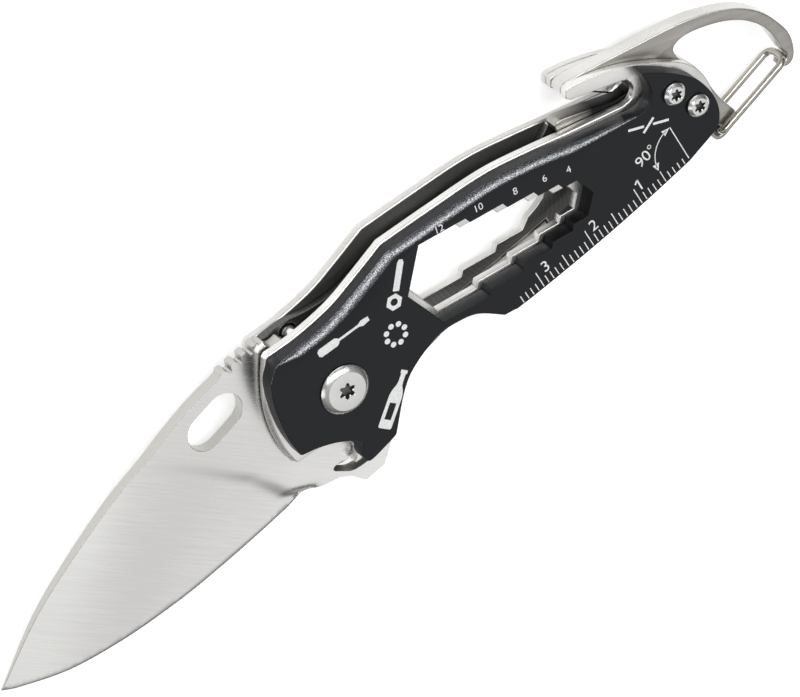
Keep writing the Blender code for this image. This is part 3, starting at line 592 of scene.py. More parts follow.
# The outer walls are brighter than the faces, but not the walls of the slot
refinish(hook, plate_steel, lambda at, normal: (
    (np.abs(normal[:, 2]) < 0.9)
    & ~((at[:, 0] < 64) & ((at[:, :2] - np.array(SLOT_END)) @ np.array(SLOT_ACROSS) < 2.3))))
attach(hook, "handle")
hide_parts("carabiner_hook")

# ---------------------------------------------------------------- cord cutter
# A short razor-like blade set across the slot and ground bright on both faces. Only a sliver
# of its edge shows inside the slot; the rest is let into the hook plate.

cutter_low, cutter_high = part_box("cord_cutter")
cutter_outline = respaced(np.array([(56.6, 10.3), (61.0, 5.6), (66.2, 5.6), (65.6, 8.2),
                                    (60.4, 11.0), (56.6, 10.3)]), 0.6)[:-1]
cutter = plate("cord_cutter_ground", cutter_outline, [], cutter_low.z / MM, cutter_high.z / MM,
               0.42, 0.42, 1, 20.0)
cutter.data.materials.append(polished)
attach(cutter, "handle")
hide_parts("cord_cutter")

# ---------------------------------------------------------------- gate wire
# The gate is one spring wire bent to a flat loop, with a leg on each face of the hook; its
# two ends sit in a hole in the hook's lug, and its bow closes on the hook's nose.

front_leg = hook_top + WIRE_GAP + WIRE_RADIUS
back_leg = hook_bottom - WIRE_GAP - WIRE_RADIUS
WIRE_BEND, BOW_BEND, PIN_LENGTH = 1.1, 1.9, 1.1
ACROSS_LOOP = np.array([-0.1951, 0.9808, 0.0])


def tube(name, path, radius, across, sides=20):
    """A round wire: a circle of the radius carried along a path that lies in one plane, on
    axes that turn no more than the path does, with closed ends. Across is the normal of the
    path's plane."""
    path = np.array(path, float)
    along = np.gradient(path, axis=0)
    along /= np.linalg.norm(along, axis=1)[:, None]
    flat_side = np.cross(along, across)
    side = flat_side / np.linalg.norm(flat_side, axis=1)[:, None]
    other = np.cross(side, along)
    angle = np.linspace(0, 2 * np.pi, sides, endpoint=False)[None, :, None]
    turned = np.cos(angle) * side[:, None] + np.sin(angle) * other[:, None]
    rings = path[:, None] + radius * turned
    count = len(path)
    points = np.vstack([rings.reshape(-1, 3), path[:1], path[-1:]])
    ring = np.arange(sides)
    last = (count - 1) * sides + ring
    faces = (bands(0, count, sides)[:, ::-1].tolist()
             + np.column_stack([np.full(sides, count * sides), ring, np.roll(ring, -1)]).tolist()
             + np.column_stack([np.full(sides, count * sides + 1), np.roll(last, -1),
                                last]).tolist())
    return mesh_of(name, points, faces)


def wire_bend(start, corner, end, steps=10):
    """A bend between two runs: (1-t)^2 start + 2t(1-t) corner + t^2 end."""
    start, corner, end = np.array(start), np.array(corner), np.array(end)
    t = np.linspace(0, 1, steps + 1)[:, None]
    return (1 - t) ** 2 * start + 2 * t * (1 - t) * corner + t ** 2 * end


gate_along = (GATE_TIP - GATE_PIVOT) / np.linalg.norm(GATE_TIP - GATE_PIVOT)
inner, outer = GATE_PIVOT + WIRE_BEND * gate_along, GATE_TIP - BOW_BEND * gate_along
gate_path = np.vstack([
    [(*GATE_PIVOT, hook_top - PIN_LENGTH)],
    wire_bend((*GATE_PIVOT, front_leg - WIRE_BEND), (*GATE_PIVOT, front_leg), (*inner, front_leg)),
    wire_bend((*outer, front_leg), (*GATE_TIP, front_leg), (*GATE_TIP, front_leg - BOW_BEND)),
    wire_bend((*GATE_TIP, back_leg + BOW_BEND), (*GATE_TIP, back_leg), (*outer, back_leg)),
    wire_bend((*inner, back_leg), (*GATE_PIVOT, back_leg), (*GATE_PIVOT, back_leg + WIRE_BEND)),
    [(*GATE_PIVOT, hook_bottom + PIN_LENGTH)]])
gate = tube("gate_wire_polished", gate_path, WIRE_RADIUS, ACROSS_LOOP)
spring_wire = brushed("spring_wire", (0.34, 0.32, 0.28), (0.50, 0.48, 0.44), 0.16, 11, 4000, 3.0,
                      1e-6)
gate.data.materials.append(spring_wire)
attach(gate, "gate")
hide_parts("gate_wire")

# ---------------------------------------------------------------- blade
# A clip-point blade of stainless strip, satin on its flat tang and ground away on a slant
# towards the edge. The tang ends in the driver tooth and the hollow of the opener.

TIP = (-68.6, -6.0)
EDGE_LOW, FULL_WIDTH = -15.2, 27.0
PLUNGE_LINE = np.array([(-11.8, -14.4), (-15.7, -11.9), (-18.7, -5.5), (-23.6, 0.9),
                        (-30.0, 9.7)])
EDGE_THICKNESS, EDGE_BEVEL, PLUNGE_WIDTH, RIM_BREAK = 0.2, 0.45, 4.0, 0.06
EDGE_START, RUN_OUT, EDGE_LEAST, EDGE_RIM = -12.5, 3.0, 0.12, 0.02
THUMB_HOLE, THUMB_RADIUS, THUMB_LENGTH, THUMB_TILT = (-18.4, 7.4), 3.1, 10.4, 10.0
blade_low, blade_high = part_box("blade")
blade_middle = (blade_low.z + blade_high.z) / 2 / MM
blade_half = (blade_high.z - blade_low.z) / 2 / MM

JIMPING_START, JIMPING_PITCH, JIMPING_TEETH, JIMPING_DEPTH = -13.8, 2.1, 4, 0.6
BLADE_SPINE = smooth([TIP, (-58.0, 0.6), (-48.2, 4.8), (-38.4, 8.1), (-30.5, 9.9),
                      (-23.6, 11.7), (-18.7, 12.6), (JIMPING_START - 0.9, 13.0)])
tooth = np.array([(0, 0), (0.3, 0.4), (1.1, 0.4), (1.4, 0), (1.5, -JIMPING_DEPTH),
                  (1.95, -JIMPING_DEPTH)])
tooth_at = np.arange(JIMPING_TEETH)[:, None, None]
jimping = (tooth[None] + np.array([JIMPING_START, 13.2])
           + tooth_at * np.array([JIMPING_PITCH, 0.05])).reshape(-1, 2)[:-2]
BLADE_TRAVEL = 169.0
closed_turn = np.radians(-BLADE_TRAVEL)
stop_when_closed = (stop_at[0] * np.cos(closed_turn) - stop_at[1] * np.sin(closed_turn),
                    stop_at[0] * np.sin(closed_turn) + stop_at[1] * np.cos(closed_turn))
tang_radius = np.hypot(*stop_at) - stop_radius - TANG_GAP
TANG = np.vstack([
    smooth([(-5.4, 13.3), (-5.3, 12.0), (-4.4, 11.2), (-2.9, 11.2)]),
    arc(stop_at, stop_radius + STOP_GAP, 150, 215, 6),
    arc((0, 0), tang_radius, 103, -79, 40),
    arc(stop_when_closed, stop_radius + STOP_GAP, 165, 225, 6),
    smooth([(0.2, -11.6), (-2.2, -12.4), (-3.2, -13.7), (-4.4, -14.5), (-5.9, -14.0),
            (-7.2, -13.9), (-7.6, -14.4), (-6.9, -15.1), (-5.4, -16.5), (-3.9, -17.0),
            (-1.9, -17.1), (0.4, -16.6), (2.1, -15.7), (3.1, -15.8), (2.9, -16.7)])])
DRIVER = np.array([(0.8, -18.7), (-0.5, -19.8), (-4.2, -19.9), (-5.9, -17.2)])
RICASSO = smooth([(-7.4, -16.1), (-10.8, -15.1), (-12.8, -14.3), (-14.7, -14.5)])
BLADE_EDGE = smooth([(-16.5, -14.8), (-23.4, -15.1), (-31.2, EDGE_LOW), (-38.1, -15.0),
                     (-48.0, -13.9), (-57.8, -11.6), (-65.7, -7.9), TIP])[:-1]


def long_hole(centre, radius, length, tilt):
    """A slot with round ends: two half circles on a tilted line."""
    turn = np.radians(tilt)
    along = (length / 2 - radius) * np.array([np.cos(turn), np.sin(turn)])
    return np.vstack([arc(np.array(centre) - along, radius, tilt + 90, tilt + 270),
                      arc(np.array(centre) + along, radius, tilt - 90, tilt + 90)])


def edge_line(x):
    """The height of the cutting edge at x, read from its own curve."""
    curve = np.vstack([TIP, BLADE_EDGE[::-1], RICASSO[::-1]])
    return height_at(x, curve)


def on_edge(points):
    """True for points on the cutting edge's own curve."""
    return ((points[:, 0] < EDGE_START)
            & (np.abs(points[:, 1] - edge_line(points[:, 0])) < 0.05))


def edge_bevel(x):
    """The width of the cutting edge's bevel, run out to nothing where the edge starts."""
    return EDGE_BEVEL * np.clip((EDGE_START - x) / RUN_OUT, 0, 1)


def half_thickness(x, y):
    """Half of the blade's thickness: full on the tang; past the plunge line, the edge's
    thickness plus a slope times the height over the edge, eased in over the plunge width. On
    the bevel it falls to a small share of the edge's thickness."""
    slope = (blade_half - EDGE_THICKNESS) / FULL_WIDTH
    height = np.maximum(y - edge_line(x), 0)
    ground = EDGE_THICKNESS + slope * height
    fine = EDGE_THICKNESS * np.clip(height / np.maximum(edge_bevel(x), 1e-3), EDGE_LEAST, 1)
    ground = np.where(height < edge_bevel(x), fine, ground)
    past = np.interp(y, PLUNGE_LINE[:, 1], PLUNGE_LINE[:, 0]) - x
    ease = np.clip(past / PLUNGE_WIDTH + 0.5, 0, 1)
    ease = ease * ease * (3 - 2 * ease)
    return blade_half - ease * np.maximum(blade_half - ground, 0)


def within(points, loop):
    """True where a level line from the point crosses the loop an odd number of times."""
    x, y = points[:, 0, None], points[:, 1, None]
    ax, ay = loop[:, 0][None], loop[:, 1][None]
    bx, by = np.roll(loop[:, 0], -1)[None], np.roll(loop[:, 1], -1)[None]
    spans = (ay > y) != (by > y)
    reach = (bx - ax) * (y - ay) / np.where(by == ay, 1, by - ay) + ax
    return (np.sum(spans & (x < reach), axis=1) % 2) == 1


def away_from(points, loop, distance):
    """True where the point is further than the distance from every corner of the loop."""
    gap = np.hypot(points[:, 0, None] - loop[None, :, 0], points[:, 1, None] - loop[None, :, 1])
    return gap.min(axis=1) > distance


blade_loops = [turned_to(np.vstack([BLADE_SPINE, jimping, TANG, DRIVER, RICASSO, BLADE_EDGE])),
               turned_to(circle((0, 0), TANG_HOLE), False),
               turned_to(long_hole(THUMB_HOLE, THUMB_RADIUS, THUMB_LENGTH, THUMB_TILT), False)]
# The first ring inside each outline: a narrow broken edge, and the cutting edge's bevel
inner_loops = []
for loop in blade_loops:
    width = np.where(on_edge(loop), np.maximum(edge_bevel(loop[:, 0]), RIM_BREAK), RIM_BREAK)
    inner_loops.append(loop + inward(loop) * width[:, None])

# Inside the rings lies a net of points, whose columns slant with the plunge line
NET_STEP, NET_GAP, NET_SLANT = 0.6, 0.4, 0.72
net_x, net_y = np.meshgrid(np.arange(-68, 5, NET_STEP), np.arange(-19.5, 13, NET_STEP))
shear = NET_SLANT * (net_y + 15) * (net_x < -8)
net = np.column_stack([(net_x - shear).ravel(), net_y.ravel()])
net = net[within(net, inner_loops[0]) & away_from(net, inner_loops[0], NET_GAP)]
for hole in inner_loops[1:]:
    net = net[~within(net, hole) & away_from(net, hole, NET_GAP)]
ring_points = np.vstack(inner_loops)
counts = [len(loop) for loop in inner_loops]
starts = np.r_[0, np.cumsum(counts)[:-1]]
rims = [(int(start + k), int(start + (k + 1) % count))
        for start, count in zip(starts, counts) for k in range(count)]
flat_points, _, face_list, _, _, _ = delaunay_2d_cdt(
    [Vector(p) for p in np.vstack([ring_points, net])], rims, [], 1, 1e-6)
flat_points = np.array([tuple(p) for p in flat_points])
triangles = np.array(face_list)
middles = flat_points[triangles].mean(axis=1)
kept = within(middles, inner_loops[0])
for hole in inner_loops[1:]:
    kept &= ~within(middles, hole)
triangles = triangles[kept]
clockwise = turn_of(flat_points[triangles[:, k]] for k in range(3)) < 0
triangles[clockwise] = triangles[clockwise][:, ::-1]

# Top face, bottom face, then two rings on the outline itself, joined by bands of quads
outline_points = np.vstack(blade_loops)
thick = half_thickness(*flat_points.T)
rim_full = np.maximum(half_thickness(*outline_points.T) - RIM_BREAK, EDGE_RIM)
past_start = np.clip((outline_points[:, 0] - (EDGE_START - RUN_OUT)) / RUN_OUT, 0, 1)
rim_thick = np.where(on_edge(outline_points), EDGE_RIM + (rim_full - EDGE_RIM) * past_start,
                     rim_full)
count_flat, count_rim = len(flat_points), len(outline_points)
blade_points = np.vstack([
    np.column_stack([flat_points, blade_middle + thick]),
    np.column_stack([flat_points, blade_middle - thick]),
    np.column_stack([outline_points, blade_middle + rim_thick]),
    np.column_stack([outline_points, blade_middle - rim_thick])])
here = np.arange(count_rim)
after = np.concatenate([start + (np.arange(count) + 1) % count
                        for start, count in zip(starts, counts)])
upper_rim, lower_rim = 2 * count_flat, 2 * count_flat + count_rim
blade_faces = triangles.tolist() + (triangles[:, ::-1] + count_flat).tolist()
for low_row, high_row in ((upper_rim, 0), (lower_rim, upper_rim), (count_flat, lower_rim)):
    blade_faces += np.column_stack([low_row + here, low_row + after, high_row + after,
                                    high_row + here]).tolist()
blade = mesh_of("blade_ground", blade_points, blade_faces, 26.0)

ground_steel, nodes, links, shader = graph("ground_steel", (0.64, 0.63, 0.61), 0.26, 1.0)
cut_lines = noise(nodes, links, 3800, (60, 1, 1), -50, 2.0)
clouds = noise(nodes, links, 45, (1, 2.4, 1), -50, 1.0)
mixed = share_of(nodes, links, clouds, 0.8, spread(nodes, links, cut_lines, 0.0, 0.14))
links.new(tint(nodes, links, spread(nodes, links, mixed, 0, 1, 0.3, 0.75),
               (0.66, 0.65, 0.635), (0.90, 0.90, 0.88)), shader.inputs["Base Color"])
links.new(spread(nodes, links, cut_lines, 0.25, 0.29), shader.inputs["Roughness"])
blade.data.materials.append(ground_steel)
drawn_steel = graph("drawn_steel", (0.50, 0.49, 0.465), 0.34, 1.0)[0]
refinish(blade, drawn_steel, lambda at, normal: np.abs(normal[:, 2]) < 0.9)
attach(blade, "blade")
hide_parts("blade")

# ---------------------------------------------------------------- washers and stop pin
# Two thin bronze washers let the tang turn between the liners, and a hardened pin between
# them stops the blade both open and shut.

rolled_bronze = brushed("rolled_bronze", (0.42, 0.27, 0.12), (0.62, 0.43, 0.21), 0.36, 15, 5000)
for side in ("front", "back"):
    washer_low, washer_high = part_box(f"{side}_washer")
    bottom, top = washer_low.z / MM, washer_high.z / MM
    radius = (washer_high.x - washer_low.x) / 2 / MM
    washer = plate(f"{side}_washer_bronze", circle((0, 0), radius, 64),
                   [circle((0, 0), BARREL_HOLE)], bottom, top, 0.05, 0.05, 2)
    washer.data.materials.append(rolled_bronze)
    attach(washer, "handle")
    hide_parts(f"{side}_washer")

pin_bottom, pin_top = stop_low.z / MM, stop_high.z / MM
PIN_BREAK = 0.2
stop_pin = revolved("stop_pin_ground", stop_at,
                    [(0, pin_bottom), (stop_radius - PIN_BREAK, pin_bottom),
                     (stop_radius, pin_bottom + PIN_BREAK), (stop_radius, pin_top - PIN_BREAK),
                     (stop_radius - PIN_BREAK, pin_top), (0, pin_top)], 40)
stop_pin.data.materials.append(polished)
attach(stop_pin, "handle")
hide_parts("stop_pin")

# ---------------------------------------------------------------- front liner
# The stamped plate under the scale: its bright sheared edge shows all along the spine, in
# the steps of the hex opening, and as a bevelled lip past the scale at the blade's end.

liner_low, liner_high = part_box("front_liner")
LINER_OUTLINE = turned_to(np.vstack([SPINE, CORD_SLOT, NOSE, REAR, BELLY, FINGER_NOTCH,
                                     OPENER_HOOK, FRONT_END]))
at_front = np.clip((-7.6 - LINER_OUTLINE[:, 0]) / 1.5, 0, 1) * (LINER_OUTLINE[:, 1] > -7.0)
at_spine = ((np.abs(LINER_OUTLINE[:, 1] - height_at(LINER_OUTLINE[:, 0], SPINE)) < 0.2)
            * (LINER_OUTLINE[:, 0] > -6.0))
front_liner = plate("front_liner_sheared", LINER_OUTLINE,
                    [hex_row(HEX_SIZES, 0.0), stop_hole] + pivot_holes,
                    liner_low.z / MM, liner_high.z / MM, 0.12,
                    0.16 + 0.5 * at_front + 0.2 * at_spine)
edge_steel = brushed("edge_steel", (0.68, 0.67, 0.65), (0.80, 0.79, 0.77), 0.30, 70, 8000, 10.0)
front_liner.data.materials.append(edge_steel)
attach(front_liner, "handle")
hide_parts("front_liner")

# ---------------------------------------------------------------- front scale
# Machined aluminium, bead-blasted and anodised charcoal black. Its spine edge has a crowned
# chamfer for the hand, the finger notch is rounded, the other edges are only broken, and a
# larger window bares the liner's hex steps.

scale_low, scale_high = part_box("front_scale")
scale_top = scale_high.z / MM
SCALE_SPINE = np.vstack([
    smooth([(-6.4, 11.6), (0.6, 11.1), (5.5, 11.4), (10.5, 12.4), (17.4, 14.1)]),
    smooth([(18.0, 14.1), (27.0, 13.0), (37.0, 11.6), (44.9, 9.3), (51.0, 6.9), (57.0, 4.9),
            (61.5, 3.4)])])
SCALE_REST = np.vstack([
    smooth([(62.6, 3.3), (64.4, 4.0), (65.4, 5.8), (65.4, 8.8)]),
    smooth([(65.8, 9.0), (69.0, 5.9), (70.9, 3.6), (72.4, 1.2), (73.2, -2.3), (73.0, -5.2),
            (71.9, -7.5), (70.4, -8.5)]),
    BELLY[:-1], [(29.0, -9.7)], FINGER_NOTCH[:-1],
    smooth([(2.5, -13.2), (0.4, -13.5), (-3.0, -13.7), (-3.4, -11.9), (-2.4, -10.0),
            (-4.8, -7.5), (-8.0, -5.6), (-11.0, -4.5)]),
    smooth([(-11.3, -4.2), (-11.4, -0.3), (-10.7, 4.6), (-9.2, 9.1), (-7.1, 11.4)])])
SCALE_OUTLINE = turned_to(np.vstack([SCALE_SPINE, SCALE_REST]))
on_spine = ((np.abs(SCALE_OUTLINE[:, 1] - height_at(SCALE_OUTLINE[:, 0], SCALE_SPINE)) < 0.2)
            * np.clip((SCALE_OUTLINE[:, 0] + 6.4) / 4.0, 0, 1)
            * np.clip((61.5 - SCALE_OUTLINE[:, 0]) / 12.0, 0, 1))
on_notch = (np.clip((SCALE_OUTLINE[:, 0] - 8.0) / 8.0, 0, 1)
            * np.clip((29.0 - SCALE_OUTLINE[:, 0]) / 4.0, 0, 1) * (SCALE_OUTLINE[:, 1] < 0))
WINDOW_MARGIN, WINDOW_SHIFT = 1.25, 0.75
CHAMFER_WIDTH, CHAMFER_DROP = 1.3, 0.85
front_scale = plate("front_scale_anodised", SCALE_OUTLINE,
                    [hex_row(HEX_SIZES, WINDOW_MARGIN, WINDOW_SHIFT)] + pivot_holes,
                    scale_low.z / MM, scale_top, 0.08, 0.14 + 0.35 * on_notch, 7,
                    slant=(on_spine, CHAMFER_WIDTH, CHAMFER_DROP))
anodised, nodes, links, shader = graph("anodised", (0.006, 0.007, 0.009), 0.42, 0.0)
blast = noise(nodes, links, 7000, (1, 1, 1), 0, 3.0)
flecks = noise(nodes, links, 16000, (1, 1, 1), 0, 1.0)
links.new(tint(nodes, links, spread(nodes, links, flecks, 0, 1, 0.55, 0.8),
               (0.005, 0.006, 0.008), (0.016, 0.018, 0.022)), shader.inputs["Base Color"])
links.new(spread(nodes, links, blast, 0.26, 0.42), shader.inputs["Roughness"])
shader.inputs["Specular IOR Level"].default_value = 0.24
bump(nodes, links, blast, 1.2e-5, shader)
front_scale.data.materials.append(anodised)
# The chamfer gets a lighter, metallic, grainy copy of the anodising: a painted highlight, so it
# catches the edge light as a bright band
rounded, nodes, links, shader = graph("anodised_edge_sheen", (0.08, 0.08, 0.085), 0.24, 1.0)
grit = noise(nodes, links, 5200, (1, 1, 1), 0, 2.0)
links.new(tint(nodes, links, spread(nodes, links, grit, 0, 1, 0.40, 0.62),
               (0.035, 0.037, 0.042), (0.17, 0.175, 0.18)), shader.inputs["Base Color"])
bump(nodes, links, grit, 1.0e-5, shader)
refinish(front_scale, rounded, lambda at, normal: (
    (normal[:, 1] > 0.15) & (normal[:, 2] > 0.2) & (normal[:, 2] < 0.995)
    & (np.abs(at[:, 1] - height_at(at[:, 0], SCALE_SPINE)) < 2.0)
    & (at[:, 0] < 61)))
# The window's walls, and the middle of the finger notch's, get a deeper black and duller copy of
# the anodising as painted shade
wall_shade, _, _, shader = graph("anodised_wall_shade", (0.004, 0.004, 0.005), 0.55, 0.0)
shader.inputs["Specular IOR Level"].default_value = 0.12
around_window = hex_row(HEX_SIZES, 2.0, WINDOW_SHIFT)
refinish(front_scale, wall_shade, lambda at, normal: (
    (np.abs(normal[:, 2]) < 0.6) & (at[:, 0] > around_window[:, 0].min())
    & (at[:, 0] < around_window[:, 0].max())
    & (np.abs(at[:, 1] - 4 + 0.12 * (at[:, 0] - 30)) < 8)
    & (at[:, 1] < height_at(at[:, 0], SCALE_SPINE) - 1.2)
    & (at[:, 1] > -6.5)))
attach(front_scale, "handle")
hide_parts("front_scale")

# ---------------------------------------------------------------- etched marks
# The anodising is burnt away by a laser to pale marks: a centimetre rule along the belly, a
# quarter circle, the sizes of the hex steps, and small plain signs for what each tool does.

MARK_SINK, MARK_PROUD, MARK_BREAK = 0.03, 0.012, 0.004
mark_bottom, mark_top = scale_top - MARK_SINK, scale_top + MARK_PROUD
etched, nodes, links, shader = graph("etched", (0.70, 0.71, 0.70), 0.7, 0.0)
speckle = noise(nodes, links, 9000, (1, 1, 1), 0, 2.0)
links.new(tint(nodes, links, spread(nodes, links, speckle, 0, 1), (0.55, 0.56, 0.56),
               (0.88, 0.88, 0.87)), shader.inputs["Base Color"])
bump(nodes, links, speckle, 4e-6, shader)


def strokes(starts, ends, width):
    """Closed bars from each start to each end: four corners half the width to either side,
    below and above."""
    starts, ends = np.array(starts, float), np.array(ends, float)
    along = (ends - starts) / np.linalg.norm(ends - starts, axis=1)[:, None]
    side = width / 2 * np.column_stack([-along[:, 1], along[:, 0]])
    flat = np.stack([starts - side, ends - side, ends + side, starts + side], axis=1)
    flat = np.concatenate([flat, flat], axis=1)
    level = np.broadcast_to(np.repeat([mark_bottom, mark_top], 4)[None, :, None],
                            (len(starts), 8, 1))
    box = np.array([(3, 2, 1, 0), (4, 5, 6, 7), (0, 1, 5, 4), (1, 2, 6, 5), (2, 3, 7, 6),
                    (3, 0, 4, 7)])
    faces = (np.arange(len(starts))[:, None, None] * 8 + box[None]).reshape(-1, 4)
    return np.concatenate([flat, level], axis=2).reshape(-1, 3), faces


def etch(mark):
    """Gives a mark its pale finish and makes it part of the scale."""
    mark.data.materials.append(etched)
    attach(mark, "handle")
    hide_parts("front_scale")


RULE_ZERO, RULE_LENGTH, LINE = 64.64, 34, 0.17
CORNER = (RULE_ZERO - 0.1, -7.2)
tick = np.arange(1, RULE_LENGTH + 1)
tick_x = RULE_ZERO - tick
tick_top = np.where(tick % 10 == 0, -6.8, np.where(tick % 5 == 0, -7.5, -8.35))
tick_foot = height_at(tick_x, BELLY[::-1]) + 0.3
tick_starts = np.column_stack([np.r_[tick_x, RULE_ZERO], np.r_[tick_foot, -9.1]])
tick_ends = np.column_stack([np.r_[tick_x, RULE_ZERO], np.r_[tick_top, -2.2]])
etch(mesh_of("centimetre_rule", *strokes(tick_starts, tick_ends, LINE)))

quarter = arc(CORNER, 5.0, 97, 173, 24)
etch(mesh_of("quarter_circle", *strokes(quarter[:-1], quarter[1:], LINE)))


def signed(name, outline, at, turn, holes=()):
    """A flat sign: an outline about its own centre, turned and set in place on the scale."""
    turn = np.radians(turn)
    spin = np.array([[np.cos(turn), np.sin(turn)], [-np.sin(turn), np.cos(turn)]])
    sign = plate(name, np.array(outline) @ spin + np.array(at),
                 [np.array(hole) @ spin + np.array(at) for hole in holes],
                 mark_bottom, mark_top, MARK_BREAK, MARK_BREAK, 1)
    etch(sign)


signed("arrow_upper", [(-0.1, 0), (-1.5, 0.45), (-1.35, -0.75)], (RULE_ZERO, -2.2), 0)
signed("arrow_lower", [(-5.1, 0), (-5.55, 1.4), (-4.35, 1.25)], (RULE_ZERO, -7.2), 0)


TYPE_SIZE = 1.38  # the size of type whose numerals are 1 high


def number(name, text, at, height, turn):
    """Numerals as a flat mesh of their own, closed all round and set in place on the scale."""
    curve = bpy.data.curves.new(name, "FONT")
    curve.body = text
    curve.size = height * TYPE_SIZE * MM
    curve.align_x, curve.align_y = "CENTER", "CENTER"
    curve.extrude = (mark_top - mark_bottom) / 2 * MM
    curve.resolution_u = 4
    guide = bpy.data.objects.new(name, curve)
    bpy.context.scene.collection.objects.link(guide)
    bpy.context.view_layer.update()
    mesh = bpy.data.meshes.new_from_object(
        guide.evaluated_get(bpy.context.evaluated_depsgraph_get()))
    bpy.data.objects.remove(guide)
    place = (Matrix.Translation(Vector((pivot[0] + at[0], pivot[1] + at[1],
                                        (mark_bottom + mark_top) / 2)) * MM)
             @ Matrix.Rotation(np.radians(turn), 4, "Z"))
    mesh.transform(place)
    mesh.name = name
    piece = bpy.data.objects.new(name, mesh)
    bpy.context.scene.collection.objects.link(piece)
    mesh.materials.clear()
    etch(piece)


ONE_TOP = (55.85, -5.85)
etch(mesh_of("rule_number_1",
             *strokes([(55.2, -6.35), (55.85, -7.8)], [ONE_TOP, ONE_TOP], 0.28)))
for text, at in (("2", (46.3, -7.1)), ("3", (36.5, -7.1))):
    number(f"rule_number_{text}", text, at, 2.0, 0)
NUMBERS_AT = [(25.8, 11.45), (32.7, 9.75), (38.9, 7.6), (43.8, 5.85), (47.7, 4.15)]
for size, at in zip(HEX_SIZES, NUMBERS_AT):
    number(f"hex_size_{size}", str(size), at, 1.25, HEX_TILT)
number("right_angle_number", "90°", (59.0, -3.5), 2.0, 8)

# Signs: a driver with its handle, a bolt, a bottle, a cut cord, and a plain ring of dots
driver = [(-4.6, -0.75), (-1.6, -0.75), (-1.1, -0.35), (-1.1, -0.22), (2.6, -0.22), (3.3, -0.55),
          (4.6, -0.4), (4.6, 0.4), (3.3, 0.55), (2.6, 0.22), (-1.1, 0.22), (-1.1, 0.35),
          (-1.6, 0.75), (-4.6, 0.75), (-5.0, 0.4), (-5.0, -0.4)]
signed("driver_sign", driver, (4.6, 7.7), -5)
BOLT_AT = (15.7, 8.7)
signed("bolt_head_sign", arc((-2.9, 0), 1.45, 0, 300, 5), BOLT_AT, 50,
       [circle((-2.9, 0), 0.62, 24)])
signed("bolt_shank_sign", [(-1.1, -0.55), (3.6, -0.55), (4.1, -0.3), (4.1, 0.3), (3.6, 0.55),
                           (-1.1, 0.55)], BOLT_AT, 50)
bottle = np.vstack([[(-4.9, -1.0), (-4.7, -1.2), (0.4, -1.2)],
                    smooth([(0.7, -1.15), (1.5, -0.95), (2.3, -0.55), (3.0, -0.42)], 0.25),
                    [(4.3, -0.42), (4.3, -0.6), (4.9, -0.6), (4.9, 0.6), (4.3, 0.6), (4.3, 0.42)],
                    smooth([(3.0, 0.42), (2.3, 0.55), (1.5, 0.95), (0.7, 1.15)], 0.25),
                    [(0.4, 1.2), (-4.7, 1.2), (-4.9, 1.0)]])
label = [(-3.4, -0.6), (-0.6, -0.6), (-0.6, 0.6), (-3.4, 0.6)]
signed("bottle_sign", bottle, (5.5, -7.7), 38, [label])
cord_lie, cord_at = np.array([[0.883, -0.469], [0.469, 0.883]]), np.array([62.0, 0.75])
etch(mesh_of("cut_cord_sign",
             *strokes([(-3.6, 0), (0.8, 0), (-0.9, -1.1)] @ cord_lie + cord_at,
                      [(-0.8, 0), (3.6, 0), (0.9, 1.1)] @ cord_lie + cord_at, 0.42)))
for index, dot in enumerate(arc((11.3, 1.6), 1.7, 90, 450, 8)[:-1]):
    signed(f"ring_dot_{index}", circle((0, 0), 0.48, 20), dot, 0)

# ---------------------------------------------------------------- pivot and rear fasteners
# Turned stainless: each screw has a bright bevelled head with a six-lobed recess and closes
# a barrel nut whose flange shows from behind.


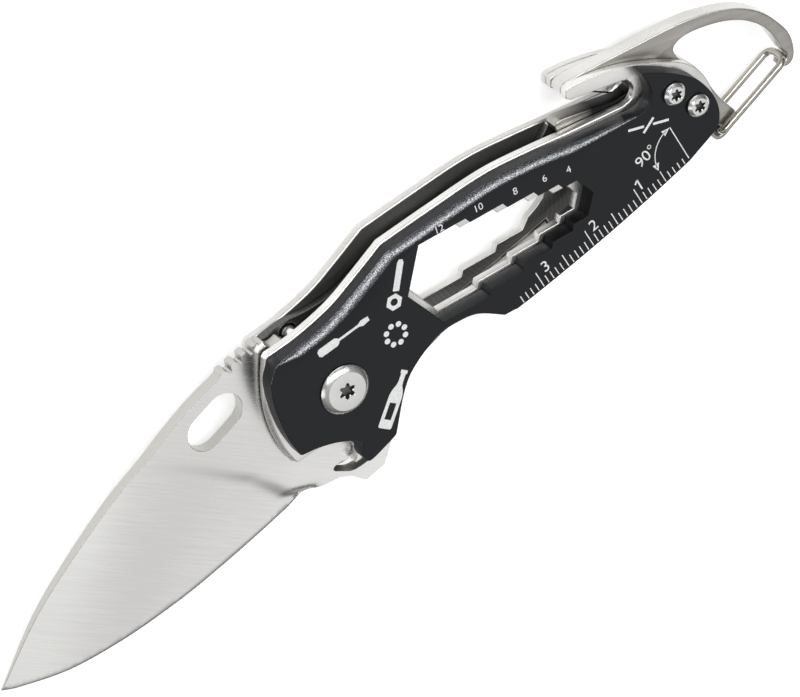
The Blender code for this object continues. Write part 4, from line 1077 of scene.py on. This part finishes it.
def screw_profile(head, shoulder, drop, recess, seat, top, shank, foot, depth=0.7):
    """Recess floor, recess wall with a broken lip, flat crown, bevel, rim, seat and shank, as
    (radius, height), and how deep the six lobes are at each."""
    return ([(0, top - depth), (recess * 0.9, top - depth), (recess * 0.97, top - depth * 0.4),
             (recess, top - 0.08), (recess + 0.1, top), (head - shoulder - 0.12, top),
             (head - shoulder, top - 0.03), (head - 0.08, top - drop), (head, top - drop - 0.1),
             (head, seat + 0.08), (head - 0.08, seat), (shank, seat), (shank, foot), (0, foot)],
            [0, 0.42, 0.42, 0.42, 0.36, 0, 0, 0, 0, 0, 0, 0, 0, 0])


def nut_profile(head, shoulder, barrel, bore, flange, mouth):
    """A hollow barrel over a bevelled flange, from the mouth down the outside and back up."""
    return [(bore, mouth), (barrel - 0.1, mouth), (barrel, mouth - 0.1), (barrel, flange),
            (head - 0.08, flange), (head, flange - 0.08), (head, shoulder * 0.4 + 0.05),
            (head - shoulder * 0.6, 0), (bore + 0.1, 0), (bore, 0.1)]


turned_steel = brushed("turned_steel", (0.60, 0.60, 0.59), (0.74, 0.74, 0.73), 0.20, 60, 5000, 2.0,
                       1e-6)
HEAD_HEIGHT = 0.9
# For each size: the head's bevel and its drop, the recess, shank and barrel, the nut's bevel
PIVOT_SIZES, REAR_SIZES = (0.9, 0.62, 1.38, 1.4, 2.5, 0.9), (0.5, 0.38, 0.98, 0.8, 1.5, 0.5)
screws = [("pivot_screw", "pivot_barrel", (0, 0), PIVOT_SIZES)]
screws += [(f"rear_screw_{label}", f"rear_barrel_{label}", tuple(at), REAR_SIZES)
           for label, at in zip(("upper", "lower"), REAR_SCREWS)]
for screw, nut, at, (bevel, drop, recess, shank, barrel, shoulder) in screws:
    low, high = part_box(screw)
    _, nut_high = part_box(nut)
    head = (high.x - low.x) / 2 / MM
    top = high.z / MM
    rows, lobes = screw_profile(head, bevel, drop, recess, top - HEAD_HEIGHT, top, shank,
                                low.z / MM)
    piece = revolved(f"{screw}_turned", at, rows[::-1], 96, 24.0, lobes[::-1])
    piece.data.materials.append(turned_steel)
    # The walls and floor of the recess get the dark steel as painted shade
    refinish(piece, painted_shade_steel, lambda place, normal: (
        (np.hypot(*(place[:, :2] - np.array(at)).T) < recess)
        & (place[:, 2] > top - 0.75) & (place[:, 2] < top - 0.06)))
    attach(piece, "handle")
    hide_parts(screw)
    piece = revolved(f"{nut}_turned", at,
                     nut_profile(head, shoulder, barrel, shank + 0.3, 0.8,
                                 nut_high.z / MM)[::-1], 64, 24.0)
    piece.data.materials.append(turned_steel)
    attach(piece, "handle")
    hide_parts(nut)
